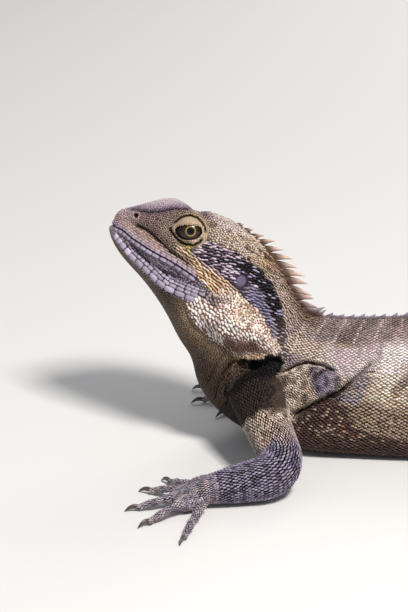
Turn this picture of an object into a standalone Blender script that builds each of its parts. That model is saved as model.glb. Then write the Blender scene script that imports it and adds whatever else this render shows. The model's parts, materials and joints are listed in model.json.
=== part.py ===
"""Eastern water dragon at life size: head raised, belly, hands, feet and tail resting on the floor.

+Z is up, the snout points towards -X and the animal's left side faces -Y. The origin lies on the
floor, in the middle of the flat that the belly rests on. Sizes below are in millimetres.
"""

import math

import bmesh
import bpy
import numpy as np
from mathutils import Matrix, Vector
from mathutils.bvhtree import BVHTree

MM = 0.001
GAP = 0.3
FLOOR_DEPTH = 30.0
SHARP_ANGLE = 60

# Head: its own frame starts at the front of the mouth line and runs back along it.
SNOUT_X = -129.5
SNOUT_Z = 81.0
HEAD_PITCH = math.radians(33)
HEAD_ROLL = math.radians(16)
ROLL_HEIGHT = 40.0
EYE_BACK = 25.2
EYE_UP = 14.7
EYE_OUT = 8.1
EYE_RADIUS = 5.7
LID_THICKNESS = 0.75
LID_OPENING = (4.7, 2.6, 3.1)
LID_TILT = math.radians(33)
OUTSIDE = 60.0

# Nostril and ear: distance back and up, radius of the ball that hollows them out, and its depth.
NOSTRIL = (5.3, 8.4, 1.08, 0.9)
EAR = (50.4, 9.6, 4.2, 1.1)
MOUTH_LENGTH = 36.0
MOUTH_DEPTH = 0.9
MOUTH_FADE = 4.0
LIP_LINE = 4
LIP_RIDGE = 0.5
JOWL_BACK = 60.0
JOWL_UP = -4.6
JOWL_TILT = math.radians(10)
JOWL_LENGTH = 18.5
JOWL_HEIGHT = 7.6
JOWL_BULGE = 3.8
JOWL_EDGE = 0.55

# How many lines run along the body's surface, counted down the left side from the back and up the
# right, and where the meshes of each part follow it, from the back down to the belly.
LINES = 14
HEAD_ROUND = (0, 0.6, 1, 1.4, 1.75, 2.1, 2.4, 2.7, 3, 3.3, 3.65, 3.87, 4, 4.13, 4.35, 4.65, 4.95, 5.35, 5.8,
              6.3, 7)
TRUNK_ROUND = (0, 0.45, 1, 1.7, 2.4, 3.1, 3.8, 4.5, 5.2, 5.8, 6.4, 7)
TAIL_ROUND = (0, 0.6, 1.4, 2.4, 3.4, 4.4, 5.4, 6.3, 7)

# Tail, from the vent to its tip.
TAIL_START = 62.0
TAIL_LENGTH = 490.0
TAIL_HALF_HEIGHT = 12.2
TAIL_HALF_WIDTH = 11.6
TAIL_TIP = 0.9
TAIL_TAPER = 1.35
TAIL_SWING = math.radians(34)

SIDES = {"left": -1, "right": 1}

# Each line of the head runs from snout to nape: half width and height at distances back from the
# snout, from the crown down to the chin.
HEAD_LINES = (
    (
        "crown",
        ((0, 0), (50, 0)),
        ((0, 8.0), (3.5, 11.7), (6.7, 15.3), (9.3, 18.2), (13.1, 21.2), (17, 22.2), (20.6, 22), (24, 22.6),
         (28.6, 24.6), (37, 26), (44, 25.6)),
    ),
    (
        "brow",
        ((0, 2.2), (4, 4.2), (9, 6.6), (14, 9.6), (20, 11.6), (27, 12.2), (34, 11), (44, 10.5)),
        ((0, 6.2), (4, 10.2), (8, 14.2), (13.6, 18), (19, 20.6), (23.8, 22.2), (28, 22.6), (34, 23.2),
         (44, 21.6)),
    ),
    (
        "side",
        ((0, 3.3), (4, 5.2), (9, 7.3), (16, 9.6), (25, 12.6), (34, 14), (44, 16)),
        ((0, 3.2), (4, 6.2), (9, 10), (16, 13), (25, 14.4), (34, 14), (44, 12)),
    ),
    (
        "cheek",
        ((0, 3.5), (4, 5.8), (9, 8.2), (16, 10.9), (25, 14), (36, 17.2), (44, 18.6)),
        ((0, 2), (9, 4), (25, 6.2), (36, 6.4), (44, 5.2)),
    ),
    (
        "lip",
        ((0, 3.2), (4, 5.9), (9, 8.5), (16, 11.3), (25, 14.7), (36, 18.4), (44, 19.6)),
        ((0, 0.3), (3, 0.9), (9, 0.6), (17, 0.7), (25, 1.5), (30, 1.7), (36, 1.5), (44, 0)),
    ),
    (
        "jaw",
        ((0, 2.2), (4, 4.8), (9, 7), (16, 9.6), (25, 12.9), (36, 16), (44, 17)),
        ((0, -1.7), (4, -3.6), (9, -5), (16, -6.6), (25, -9), (36, -12.2), (44, -15)),
    ),
    (
        "throat",
        ((0, 1.1), (4, 2.6), (9, 3.9), (16, 5.2), (25, 6.8), (36, 8.4), (44, 9.2)),
        ((0, -2.3), (9, -6.6), (20, -9.8), (30, -13.2), (44, -20.5)),
    ),
    ("chin", ((0, 0), (50, 0)), ((0, -2.7), (4, -5.4), (9, -7.5), (20, -10.5), (30, -14.2), (44, -21.8))),
)
HEAD_STATIONS = (0, 3, 6.5, 10, 14, 19, 25, 34, 44)
NOSE_ROUNDING = (math.radians(72), math.radians(40))
NOSE_LENGTH = 1.9
NOSE_MIDDLE = (0.0, 0.0, 1.2)

# Rings across the neck and trunk: back (x, z), belly (x, z), half width, how far down the ring is
# widest, and how round its lower half is, from 1 for an ellipse down to a box at 0.
BODY_RINGS = {
    "occiput": ((-74.0, 74.4), (-101.0, 33.4), 18.6, 0.55, 0.90),
    "nape": ((-67.0, 65.3), (-97.6, 22.4), 17.6, 0.58, 0.90),
    "neck": ((-62.6, 57.2), (-92.4, 14.2), 17.2, 0.60, 0.85),
    "shoulder": ((-58.0, 50.2), (-84.6, 8.2), 19.2, 0.62, 0.75),
    "chest": ((-47.0, 47.6), (-68.0, 1.8), 23.2, 0.64, 0.60),
    "ribs": ((-28.0, 47.2), (-38.0, -0.8), 26.4, 0.66, 0.52),
    "flank": ((0.0, 48.6), (-3.0, -1.0), 28.2, 0.67, 0.50),
    "loin": ((26.0, 45.0), (25.0, -0.8), 25.6, 0.64, 0.56),
    "pelvis": ((44.0, 36.6), (44.0, -0.4), 20.6, 0.58, 0.75),
}
RING_ANGLES = tuple(math.radians(a) for a in (0, 24, 50, 76, 100, 124, 152, 180))
ROOF_SHAPE = 1.2
TAIL_STATIONS = (0, 22, 50, 90, 140, 190, 240, 290, 340, 390, 440, 490)
TAIL_CUTS = (95, 195, 295, 395)

# Limbs: joints from root to end and half thicknesses there, for the left and the right side.
ARM_JOINTS = {
    "left": ((-79, -12, 28), (-66, -57, 9.6), (-93, -63, 6.4)),
    "right": ((-78, 12, 29), (-46, 47, 13), (-70, 36, 7.2)),
}
LIMB_WIDTH = 0.94
ARM_BEND = 9.8
ARM_THICKNESS = ((0, 10.4), (0.3, 9.2), (0.5, 8.4), (0.68, 8.1), (0.86, 7.0), (1, 5.4))
LEG_JOINTS = {
    "left": ((38, -5, 19), (16, -52, 22), (53, -71, 9)),
    "right": ((38, 5, 19), (21, 54, 22), (60, 68, 9)),
}
LEG_BEND = 11.5
LEG_THICKNESS = ((0, 13), (0.25, 12.8), (0.48, 9.4), (0.66, 8.8), (0.84, 6.2), (1, 4.8))

# Hands and feet: heading of the middle digit; for each digit its angle outwards from that heading,
# its reach from the wrist or ankle with the claw, and its half thickness; for each palm or sole its
# length, half width, half height and where its outer digit starts.
HAND_HEADING = {"left": math.radians(192), "right": math.radians(186)}
HAND_DIGITS = ((-62, 28, 1.6), (-36, 28.5, 1.75), (-2, 31, 1.8), (25, 32, 1.8), (60, 35, 1.7))
FOOT_HEADING = {"left": math.radians(232), "right": math.radians(126)}
FOOT_DIGITS = ((-30, 31, 1.7), (-17, 42, 1.9), (-5, 53, 2.0), (8, 64, 2.1), (52, 38, 1.8))
HAND_PALM = (13.0, 7.2, 4.2, 7.0)
FOOT_PALM = (22.0, 7.0, 4.6, 5.0)
OUTER_DIGIT = 45
FLAT = 0.2
CLAW_LENGTH = 6.0
CLAW_THICKNESS = 1.05
CLAW_FLATNESS = 0.75

# Along a digit: share of its length, height of its middle, share of its thickness. Along a claw:
# distance from the digit's end, height of its middle, share of its thickness.
DIGIT_ARCH = ((0, 4.4, 1.0), (0.4, 3.9, 1.0), (0.75, 2.4, 0.88))
DIGIT_END = 0.74
CLAW_HOOK = ((-1.4, 1.4, 1.0), (1.6, 1.9, 0.9), (3.8, 0.9, 0.55))

# Crest: distance back from the occiput along the midline, and spine length.
NAPE_CREST = ((-4, 2.0), (2, 3.6), (7, 5.0), (18, 5.4), (30, 4.6), (36, 3.4), (38, 2.6))
NAPE_SPINES = 14
BACK_SPINE = 1.9
BACK_SPACING = 5.2
TAIL_SPINE = 0.45
TAIL_SPACING = 8.0
SPINE_MARGIN = 1.4
SPINE_WIDTH = 0.78
SPINE_LONG = 1.2
SPINE_THIN = 0.7
SPINE_SHAPE = ((-0.35, 1.0), (0.3, 0.82), (0.72, 0.5))
SPINE_CURVE = 0.12
SPINE_LEAN = math.radians(28)


def smooth(knots, values, at):
    """A smooth curve through values at knots: cubic pieces whose slopes come from the neighbours."""
    knots = np.asarray(knots, float)
    values = np.asarray(values, float).reshape(len(knots), -1)
    at = np.atleast_1d(np.asarray(at, float))
    steps = np.diff(knots)[:, None]
    chords = np.diff(values, axis=0) / steps
    slopes = np.empty_like(values)
    slopes[0] = chords[0]
    slopes[-1] = chords[-1]
    slopes[1:-1] = (chords[:-1] * steps[1:] + chords[1:] * steps[:-1]) / (steps[:-1] + steps[1:])
    piece = np.clip(np.searchsorted(knots, at, side="right") - 1, 0, len(knots) - 2)
    share = (at - knots[piece])[:, None] / steps[piece]
    return cubic(values[piece], values[piece + 1], slopes[piece], slopes[piece + 1], steps[piece], share)


def cubic(first, last, first_slope, last_slope, step, share):
    """The cubic from first to last with those slopes, at a share of the way."""
    square = share * share
    cube = square * share
    return (
        first * (2 * cube - 3 * square + 1)
        + last * (3 * square - 2 * cube)
        + step * (first_slope * (cube - 2 * square + share) + last_slope * (cube - square))
    )


def ease(share):
    """0 below 0 and 1 above 1, with a smooth step between them."""
    share = np.clip(share, 0, 1)
    return share * share * (3 - 2 * share)


def value(pairs, at):
    """One number read from a curve given as (position, value) pairs, held level past its ends."""
    knots, values = zip(*pairs)
    return float(smooth(knots, values, min(max(at, knots[0]), knots[-1]))[0, 0])


def from_head(back, out, up):
    """A point of the head's frame in the animal's frame, before the head is rolled."""
    x = SNOUT_X + back * math.cos(HEAD_PITCH) + up * math.sin(HEAD_PITCH)
    z = SNOUT_Z - back * math.sin(HEAD_PITCH) + up * math.cos(HEAD_PITCH)
    return np.array([x, out, z])


def to_head(points):
    """Distance back, out and up in the head's frame of points that aren't rolled."""
    x = points[..., 0] - SNOUT_X
    z = points[..., 2] - SNOUT_Z
    back = x * math.cos(HEAD_PITCH) - z * math.sin(HEAD_PITCH)
    up = x * math.sin(HEAD_PITCH) + z * math.cos(HEAD_PITCH)
    return back, points[..., 1], up


def rolled(points, angle):
    """Points turned about the long axis at the roll height, the top away from -Y."""
    points = np.asarray(points, float)
    height = points[..., 2] - ROLL_HEIGHT
    cos, sin = np.cos(angle), np.sin(angle)
    y = points[..., 1] * cos + height * sin
    z = ROLL_HEIGHT - points[..., 1] * sin + height * cos
    return np.stack([points[..., 0], y, z], axis=-1)


def head_ring(back):
    """Half a ring of the head, on the left side, from the crown down to the chin."""
    places = ((value(widths, back), value(heights, back)) for _, widths, heights in HEAD_LINES)
    return np.array([from_head(back, -out, up) for out, up in places])


def nose_ring(angle):
    """The first ring of the head drawn in and forwards, to round off the nose."""
    middle = from_head(*NOSE_MIDDLE)
    forward = from_head(-NOSE_LENGTH * math.sin(angle), 0, 0) - from_head(0, 0, 0)
    return middle + (head_ring(0) - middle) * math.cos(angle) + forward


def body_ring(back, belly, half_width, widest, roundness):
    """Half a ring of the neck or trunk, in the plane that holds its back, its belly and the Y axis."""
    back, belly = (np.array([x, 0, z], float) for x, z in (back, belly))
    points = []
    for angle in RING_ANGLES:
        down, across = math.cos(angle), max(math.sin(angle), 0.0)
        if angle < math.pi / 2:
            share = widest * (1 - down)
            out = half_width * across**ROOF_SHAPE
        else:
            share = widest + (1 - widest) * (-down) ** roundness
            out = half_width * across**roundness
        points.append(back + (belly - back) * share - np.array([0, out, 0]))
    return np.array(points)


def full_ring(half):
    """A whole ring, down the left side and up the right, from the left half."""
    return np.concatenate([half, half[-2:0:-1] * (1, -1, 1)])


def tail_middle(along):
    """Where the tail's line lies on the floor at a distance from the vent, and its heading."""
    steps = (np.arange(80) + 0.5) / 80 * along
    heading = TAIL_SWING * np.sin(2 * math.pi * steps / TAIL_LENGTH)
    x = TAIL_START + along * np.cos(heading).mean()
    y = along * np.sin(heading).mean()
    return x, y, TAIL_SWING * math.sin(2 * math.pi * along / TAIL_LENGTH)


def tail_ring(along):
    """A whole ring of the tail, square to its line and resting on the floor."""
    share = 1 - along / TAIL_LENGTH
    half_height = TAIL_TIP + (TAIL_HALF_HEIGHT - TAIL_TIP) * share**TAIL_TAPER
    half_width = TAIL_TIP + (TAIL_HALF_WIDTH - TAIL_TIP) * share**TAIL_TAPER
    x, y, heading = tail_middle(along)
    ring = full_ring(body_ring((0, 2 * half_height), (0, -0.04 * half_height), half_width, 0.5, 0.8))
    out = ring[:, 1].copy()
    ring[:, 0] = x - out * math.sin(heading)
    ring[:, 1] = y + out * math.cos(heading)
    return ring


def body_stations():
    """The rings that the body's surface passes through, by name, from the nose to the tail's tip."""
    stations = [(f"nose {angle:.1f}", full_ring(nose_ring(angle))) for angle in NOSE_ROUNDING]
    stations += [(f"head {back}", full_ring(head_ring(back))) for back in HEAD_STATIONS]
    stations += [(name, full_ring(body_ring(*ring))) for name, ring in BODY_RINGS.items()]
    stations += [(f"tail {along}", tail_ring(along)) for along in TAIL_STATIONS]
    return stations


class Body:
    """The whole body from nose to tail as one smooth surface: along is the distance back in
    millimetres, round is the line counted down the left side from the back and up the right."""

    def __init__(self):
        self.names, rings = zip(*body_stations())
        self.rings = np.array(rings)
        middles = self.rings.mean(axis=1)
        steps = np.linalg.norm(np.diff(middles, axis=0), axis=1)
        self.along = np.concatenate([[0], np.cumsum(steps)])

    def at(self, name):
        """The distance back of a named station."""
        return float(self.along[self.names.index(name)])

    def roll(self, along):
        """How far the ring at a distance back is rolled: the head fully, the trunk not at all."""
        first, last = self.at("occiput"), self.at("shoulder")
        return HEAD_ROLL * ease((last - np.asarray(along, float)) / (last - first))

    def points(self, along, round_):
        """The grid of surface points at those distances back and positions round each ring."""
        rings = smooth(self.along, self.rings, along).reshape(-1, LINES, 3)
        after = np.roll(rings, -1, axis=1)
        lengths = np.linalg.norm(after - rings, axis=2)[..., None]
        chords = (after - rings) / lengths
        before, shorter = np.roll(chords, 1, axis=1), np.roll(lengths, 1, axis=1)
        slopes = (before * lengths + chords * shorter) / (lengths + shorter)
        line = np.floor(round_).astype(int) % LINES
        after = (line + 1) % LINES
        share = (np.asarray(round_) - np.floor(round_))[None, :, None]
        ends = rings[:, line], rings[:, after], slopes[:, line], slopes[:, after]
        grid = self.shaped(cubic(*ends, lengths[:, line], share), np.asarray(round_) % LINES)
        return rolled(grid, self.roll(along)[:, None])

    def shaped(self, grid, round_):
        """The grid with the jowls swollen, the line of the mouth pressed in and the lips beside it."""
        back, out, up = to_head(grid)
        turn = np.exp(-1j * JOWL_TILT) * ((back - JOWL_BACK) + 1j * (up - JOWL_UP))
        along_jowl, across_jowl = turn.real / JOWL_LENGTH, turn.imag / JOWL_HEIGHT
        edge = JOWL_EDGE + (1 - JOWL_EDGE) * ease(across_jowl + 0.5)
        jowl = ease((1 - np.abs(along_jowl) ** 1.2 - across_jowl**2) / edge)
        from_lip = np.minimum(np.abs(round_ - LIP_LINE), np.abs(round_ - (LINES - LIP_LINE)))[None, :]
        along_mouth = np.clip((MOUTH_LENGTH - back) / MOUTH_FADE, 0, 1)
        profile = np.interp(from_lip, (0, 0.13, 0.35, 0.65), (-MOUTH_DEPTH, 0.6 * LIP_RIDGE, LIP_RIDGE, 0))
        grid = grid.copy()
        grid[..., 1] += np.sign(out) * (JOWL_BULGE * jowl + profile * along_mouth)
        return grid

    def crest(self, along):
        """A point of the midline of the back, its outward direction and the direction backwards."""
        beside = 0.4
        points = self.points(np.array([along - 1, along, along + 1]), np.array([LINES - beside, 0, beside]))
        backwards = points[2, 1] - points[0, 1]
        across = points[1, 0] - points[1, 2]
        outwards = np.cross(backwards, across)
        return points[1, 1], outwards / np.linalg.norm(outwards), backwards / np.linalg.norm(backwards)


def to_mesh(name, points, faces):
    """A mesh object in metres from points in millimetres, its faces turned outwards."""
    mesh = bpy.data.meshes.new(name)
    mesh.from_pydata([tuple(p) for p in np.asarray(points) * MM], [], faces)
    obj = bpy.data.objects.new(name, mesh)
    bpy.context.scene.collection.objects.link(obj)
    refined = bmesh.new()
    refined.from_mesh(mesh)
    bmesh.ops.recalc_face_normals(refined, faces=refined.faces)
    if refined.calc_volume(signed=True) < 0:
        bmesh.ops.reverse_faces(refined, faces=refined.faces)
    bmesh.ops.triangulate(refined, faces=refined.faces)
    refined.to_mesh(mesh)
    refined.free()
    return obj


def loft(name, grid, tip=False):
    """A closed object whose surface passes through the rings of a grid, with flat ends or a tip."""
    rows, around = grid.shape[:2]
    points = list(grid.reshape(-1, 3))
    faces = []
    for row in range(rows - 1):
        for i in range(around):
            here, beside = row * around + i, row * around + (i + 1) % around
            faces.append((here, beside, beside + around, here + around))
    faces.append(tuple(range(around))[::-1])
    last = (rows - 1) * around
    if tip:
        points.append(2 * grid[-1].mean(axis=0) - grid[-2].mean(axis=0))
        faces += [(last + i, last + (i + 1) % around, len(points) - 1) for i in range(around)]
    else:
        faces.append(tuple(range(last, last + around)))
    return to_mesh(name, points, faces)


def ball(name, middle, radius, segments=16, rings=10):
    """A closed ball of flat faces."""
    mesh = bpy.data.meshes.new(name)
    shape = bmesh.new()
    bmesh.ops.create_uvsphere(shape, u_segments=segments, v_segments=rings, radius=radius * MM)
    bmesh.ops.translate(shape, verts=shape.verts, vec=Vector(np.asarray(middle, float) * MM))
    shape.to_mesh(mesh)
    shape.free()
    obj = bpy.data.objects.new(name, mesh)
    bpy.context.scene.collection.objects.link(obj)
    return obj


def grown(obj, by=GAP):
    """A copy of a closed object with its surface moved out, to cut its neighbours with."""
    mesh = obj.data.copy()
    shape = bmesh.new()
    shape.from_mesh(mesh)
    shape.normal_update()
    for vertex in shape.verts:
        vertex.co += vertex.normal * by * MM
    shape.to_mesh(mesh)
    shape.free()
    copy = bpy.data.objects.new(obj.name + ".grown", mesh)
    bpy.context.scene.collection.objects.link(copy)
    return copy


def combine(obj, others, operation):
    """Applies one Boolean with all the others to the object, then removes them. The solver is
    MANIFOLD, because EXACT leaves open edges where the crest and the digits are joined on."""
    group = bpy.data.collections.new("others")
    bpy.context.scene.collection.children.link(group)
    for other in others:
        group.objects.link(other)
    modifier = obj.modifiers.new(operation.lower(), "BOOLEAN")
    modifier.operation = operation
    modifier.solver = "MANIFOLD"
    modifier.operand_type = "COLLECTION"
    modifier.collection = group
    bpy.context.view_layer.update()
    done = bpy.data.meshes.new_from_object(obj.evaluated_get(bpy.context.evaluated_depsgraph_get()))
    obj.modifiers.clear()
    obj.data = done
    bpy.data.collections.remove(group)
    for other in others:
        bpy.data.objects.remove(other)
    keep_largest(obj)


def keep_largest(obj):
    """Leaves only the largest closed surface of an object."""
    shape = bmesh.new()
    shape.from_mesh(obj.data)
    shape.verts.index_update()
    seen, parts = set(), []
    for start in shape.verts:
        if start in seen:
            continue
        seen.add(start)
        part, edge = [start], [start]
        while edge:
            near = [e.other_vert(v) for v in edge for e in v.link_edges]
            edge = [v for v in dict.fromkeys(near) if v not in seen]
            seen.update(edge)
            part += edge
        parts.append(part)
    sizes = [np.ptp([v.co for v in part], axis=0).prod() for part in parts]
    largest = int(np.argmax(sizes))
    spare = [v for i, part in enumerate(parts) if i != largest for v in part]
    bmesh.ops.delete(shape, geom=spare, context="VERTS")
    shape.to_mesh(obj.data)
    shape.free()


def floor_cutter():
    """A slab below the floor, wider than the animal."""
    mesh = bpy.data.meshes.new("floor")
    shape = bmesh.new()
    bmesh.ops.create_cube(shape, size=2)
    bmesh.ops.scale(shape, vec=(1.0, 1.0, FLOOR_DEPTH * MM / 2), verts=shape.verts)
    bmesh.ops.translate(shape, vec=(0.2, 0.003, -FLOOR_DEPTH * MM / 2), verts=shape.verts)
    shape.to_mesh(mesh)
    shape.free()
    floor = bpy.data.objects.new("floor", mesh)
    bpy.context.scene.collection.objects.link(floor)
    return floor


def spine(foot, outwards, backwards, length, sides=5):
    """One crest spine: a flattened, tapered cone that leans and curves backwards, its root sunk in."""
    leaning = outwards * math.cos(SPINE_LEAN) + backwards * math.sin(SPINE_LEAN)
    across = np.cross(outwards, backwards)
    rings = []
    for share, width in SPINE_SHAPE:
        middle = foot + leaning * length * share + backwards * length * SPINE_CURVE * max(share, 0) ** 2
        half = SPINE_WIDTH * width * (0.6 + 0.22 * length)
        angles = [2 * math.pi * i / sides for i in range(sides)]
        long, thin = half * SPINE_LONG * backwards, half * SPINE_THIN * across
        rings.append([middle + long * math.cos(angle) + thin * math.sin(angle) for angle in angles])
    return loft("spine", np.array(rings), tip=True)


def crest_spines(body, start, end):
    """The spines of the nape, back and tail whose roots lie between two distances back."""
    occiput, vent = body.at("occiput"), body.at("tail 0")
    offsets = np.linspace(NAPE_CREST[0][0], NAPE_CREST[-1][0], NAPE_SPINES)
    spots = [(occiput + offset, value(NAPE_CREST, offset)) for offset in offsets]
    along = spots[-1][0] + BACK_SPACING
    tail_end = vent + TAIL_CUTS[1]
    while along < tail_end:
        fade = 1 - (1 - TAIL_SPINE) * max(along - vent, 0) / (tail_end - vent)
        spots.append((along, BACK_SPINE * fade))
        along += BACK_SPACING if along < vent else TAIL_SPACING
    first, last = start + SPINE_MARGIN, end - SPINE_MARGIN
    return [spine(*body.crest(at), length) for at, length in spots if first < at < last]


def body_node(body, name, start, end, rings, round_):
    """One length of the body between two distances back, its flat ends half a gap inside them."""
    along = np.linspace(start, end, rings)
    grid = body.points(along, round_)
    for row, inwards in ((0, 1), (-1, -1)):
        if 0 < along[row] < body.along[-1]:
            ring = grid[row]
            spokes = ring - ring.mean(axis=0)
            square = unit(np.cross(spokes, np.roll(spokes, -1, axis=0)).sum(axis=0))
            backwards = np.sign(square @ (grid[-1].mean(axis=0) - grid[0].mean(axis=0)))
            grid[row] = ring + square * backwards * inwards * GAP / 2
    return loft(name, grid)


def bent_path(joints, bend, count):
    """Points along straight lines through the joints, with the bend as a circular arc, evenly spaced."""
    first, middle, last = (np.array(j, float) for j in joints)
    arrive = (middle - first) / np.linalg.norm(middle - first)
    leave = (last - middle) / np.linalg.norm(last - middle)
    turn = math.acos(np.clip(arrive @ leave, -1, 1))
    reach = bend * math.tan(turn / 2)
    centre_way = leave - arrive
    centre = middle - arrive * reach + bend * unit(centre_way - arrive * (centre_way @ arrive))
    fine = [first + (middle - arrive * reach - first) * s for s in np.linspace(0, 1, 40)]
    spoke = middle - arrive * reach - centre
    for angle in np.linspace(0, turn, 60)[1:]:
        fine.append(centre + spoke * math.cos(angle) + arrive * bend * math.sin(angle))
    fine += [fine[-1] + (last - fine[-1]) * s for s in np.linspace(0, 1, 40)[1:]]
    fine = np.array(fine)
    lengths = np.concatenate([[0], np.cumsum(np.linalg.norm(np.diff(fine, axis=0), axis=1))])
    spots = np.linspace(0, lengths[-1], count)
    return np.stack([np.interp(spots, lengths, fine[:, k]) for k in range(3)], axis=1)


def unit(vector):
    return vector / np.linalg.norm(vector)


def tube_rings(path, half_heights, half_widths, around):
    """Rings square to a path, each an ellipse with those half sizes upwards and sideways."""
    ways = np.gradient(path, axis=0)
    rings = []
    for point, way, height, width in zip(path, ways, half_heights, half_widths):
        side = unit(np.cross(unit(way), (0, 0, 1)))
        up = np.cross(side, unit(way))
        angles = 2 * math.pi * np.arange(around) / around
        rings.append(point + np.outer(np.cos(angles), up) * height + np.outer(np.sin(angles), side) * width)
    return np.array(rings)


def limb_nodes(upper, lower, joints, bend, thickness, around=14, count=17):
    """The upper and lower lengths of a limb, parted by a thin gap in the middle of its bend."""
    path = bent_path(joints, bend, count)
    half = np.array([value(thickness, i / (count - 1)) for i in range(count)])
    rings = tube_rings(path, half, half * LIMB_WIDTH, around)
    first_length, second_length = np.linalg.norm(np.diff(np.array(joints, float), axis=0), axis=1)
    cut = round((count - 1) * first_length / (first_length + second_length))
    way = unit(path[cut + 1] - path[cut - 1]) * GAP / 2
    end = rings[-1] - unit(path[-1] - path[-2]) * GAP / 2
    first = np.concatenate([rings[:cut], [rings[cut] - way]])
    second = np.concatenate([[rings[cut] + way], rings[cut + 1 : -1], [end]])
    return loft(upper, first), loft(lower, second), path[-1], unit(path[-1] - path[-2])


def digit(root, heading, start, reach, half):
    """One finger or toe, arched from the palm to the floor, and its claw with its tip on the floor."""
    way = np.array([math.cos(heading), math.sin(heading), 0])
    claw = reach - CLAW_LENGTH
    length = claw - start
    stations = [(start + length * share, height, size) for share, height, size in DIGIT_ARCH]
    stations.append((claw, half * DIGIT_END - FLAT, DIGIT_END))
    path = np.array([root + way * out + np.array([0, 0, height]) for out, height, _ in stations])
    sizes = np.array([half * share for _, _, share in stations])
    finger = loft("finger", tube_rings(path, sizes, sizes, 7))
    path = np.array([root + way * (claw + out) + np.array([0, 0, height]) for out, height, _ in CLAW_HOOK])
    sizes = np.array([CLAW_THICKNESS * share for _, _, share in CLAW_HOOK])
    nail = tube_rings(path, sizes, sizes * CLAW_FLATNESS, 5)
    return finger, loft("claw", nail, tip=True)


def extremity(name, end, way, heading, outward, digits, palm, limb_half):
    """A hand or foot: a flat palm that starts at the limb's end, with its fused digits and claws."""
    length, half_width, half_height, outer_start = palm
    root = np.array([end[0], end[1], 0.0])
    forward = np.array([math.cos(heading), math.sin(heading), 0])
    start = end + way * GAP / 2
    low = half_height - FLAT
    path = np.array([
        start,
        start + way * 2.5 + forward,
        root + forward * length * 0.55 + (0, 0, low + 0.3),
        root + forward * (length - 1.5) + (0, 0, low * 0.85),
        root + forward * (length + 1.5) + (0, 0, low * 0.8),
    ])
    heights = (limb_half, limb_half, half_height, half_height * 0.85, half_height * 0.4)
    widths = (limb_half * LIMB_WIDTH, limb_half, half_width, half_width, half_width * 0.6)
    rings = tube_rings(path, heights, widths, 12)
    offsets = rings[0] - start
    rings[0] = start + offsets - np.outer(offsets @ way, way)
    obj = loft(name, rings)
    pieces = []
    for angle, reach, half in digits:
        begin = outer_start if angle > OUTER_DIGIT else length * 0.55
        pieces += digit(root, heading + outward * math.radians(angle), begin, reach, half)
    combine(obj, pieces, "UNION")
    return obj


def material(name, colour, roughness):
    """A plain material of one colour."""
    made = bpy.data.materials.new(name)
    made.use_nodes = True
    shader = made.node_tree.nodes["Principled BSDF"]
    shader.inputs["Base Color"].default_value = (*colour, 1)
    shader.inputs["Roughness"].default_value = roughness
    shader.inputs["Metallic"].default_value = 0.0
    return made


def eye_middle(side):
    """The middle of the eyeball on one side."""
    return rolled(from_head(EYE_BACK, side * EYE_OUT, EYE_UP), HEAD_ROLL)


def make_head(body):
    """The head with its crest, lids, nostrils and ears."""
    end = body.at("nape")
    obj = body_node(body, "head", 0.0, end, 38, half_to_full(HEAD_ROUND))
    tree = BVHTree.FromPolygons([v.co for v in obj.data.vertices], [p.vertices for p in obj.data.polygons])
    lids = [ball("lid", eye_middle(side), EYE_RADIUS + GAP + LID_THICKNESS) for side in SIDES.values()]
    combine(obj, lids + crest_spines(body, 0.0, end), "UNION")
    cutters = []
    for side in SIDES.values():
        cutters.append(ball("socket", eye_middle(side), EYE_RADIUS + GAP))
        cutters.append(lid_opening(side))
        for back, up, radius, depth in (NOSTRIL, EAR):
            far = rolled(from_head(back, side * OUTSIDE, up), HEAD_ROLL)
            near = rolled(from_head(back, 0, up), HEAD_ROLL)
            hit = tree.ray_cast(Vector(far * MM), Vector(unit(near - far)))[0]
            cutters.append(ball("dimple", np.array(hit) / MM + unit(far - near) * (radius - depth), radius))
    combine(obj, cutters, "DIFFERENCE")
    return obj


def lid_opening(side):
    """The almond between the lids, as a cutter from the middle of the eye outwards."""
    rings = []
    length, over, under = LID_OPENING
    for out in (EYE_OUT + 2.2, EYE_OUT + 14):
        ring = []
        for angle in np.linspace(0, 2 * math.pi, 14, endpoint=False):
            along, across = length * math.cos(angle), under * math.sin(angle)
            if across > 0:
                across = over * math.sin(angle) ** 0.6
            back = EYE_BACK + along * math.cos(LID_TILT) - across * math.sin(LID_TILT)
            up = EYE_UP + along * math.sin(LID_TILT) + across * math.cos(LID_TILT)
            ring.append(rolled(from_head(back, side * out, up), HEAD_ROLL))
        rings.append(ring)
    return loft("opening", np.array(rings))


def make_trunk(body):
    """Head, eyes, neck, torso and the lengths of the tail."""
    nodes = [make_head(body)]
    for side_name, side in SIDES.items():
        nodes.append(ball(f"eye_{side_name}", eye_middle(side), EYE_RADIUS))
    vent = body.at("tail 0")
    cuts = [body.at("nape"), body.at("shoulder"), vent, *(vent + cut for cut in TAIL_CUTS), body.along[-1]]
    names = ("neck", "torso", "tail_base", "tail_upper", "tail_middle", "tail_lower", "tail_tip")
    around = (HEAD_ROUND, TRUNK_ROUND, *(TAIL_ROUND for _ in TAIL_CUTS), TAIL_ROUND)
    counts = (12, 26, 12, 12, 12, 12, 12)
    for name, start, end, half, count in zip(names, cuts, cuts[1:], around, counts):
        node = body_node(body, name, start, end, count, half_to_full(half))
        spines = crest_spines(body, start, end)
        if spines:
            combine(node, spines, "UNION")
        nodes.append(node)
    return nodes


def half_to_full(half):
    """Positions down the left side, then the same ones up the right."""
    return np.array([*half, *(LINES - at for at in half[-2:0:-1])])


def make_limb(side_name, names, joints, bend, thickness, heading, digits, palm):
    """One limb: its upper and lower length and its hand or foot."""
    upper, lower, last = (f"{side_name}_{name}" for name in names)
    first, second, end, way = limb_nodes(upper, lower, joints[side_name], bend, thickness)
    outward = -SIDES[side_name]
    third = extremity(last, end, way, heading[side_name], outward, digits, palm, thickness[-1][1])
    combine(third, [grown(second)], "DIFFERENCE")
    return [first, second, third]


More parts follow.
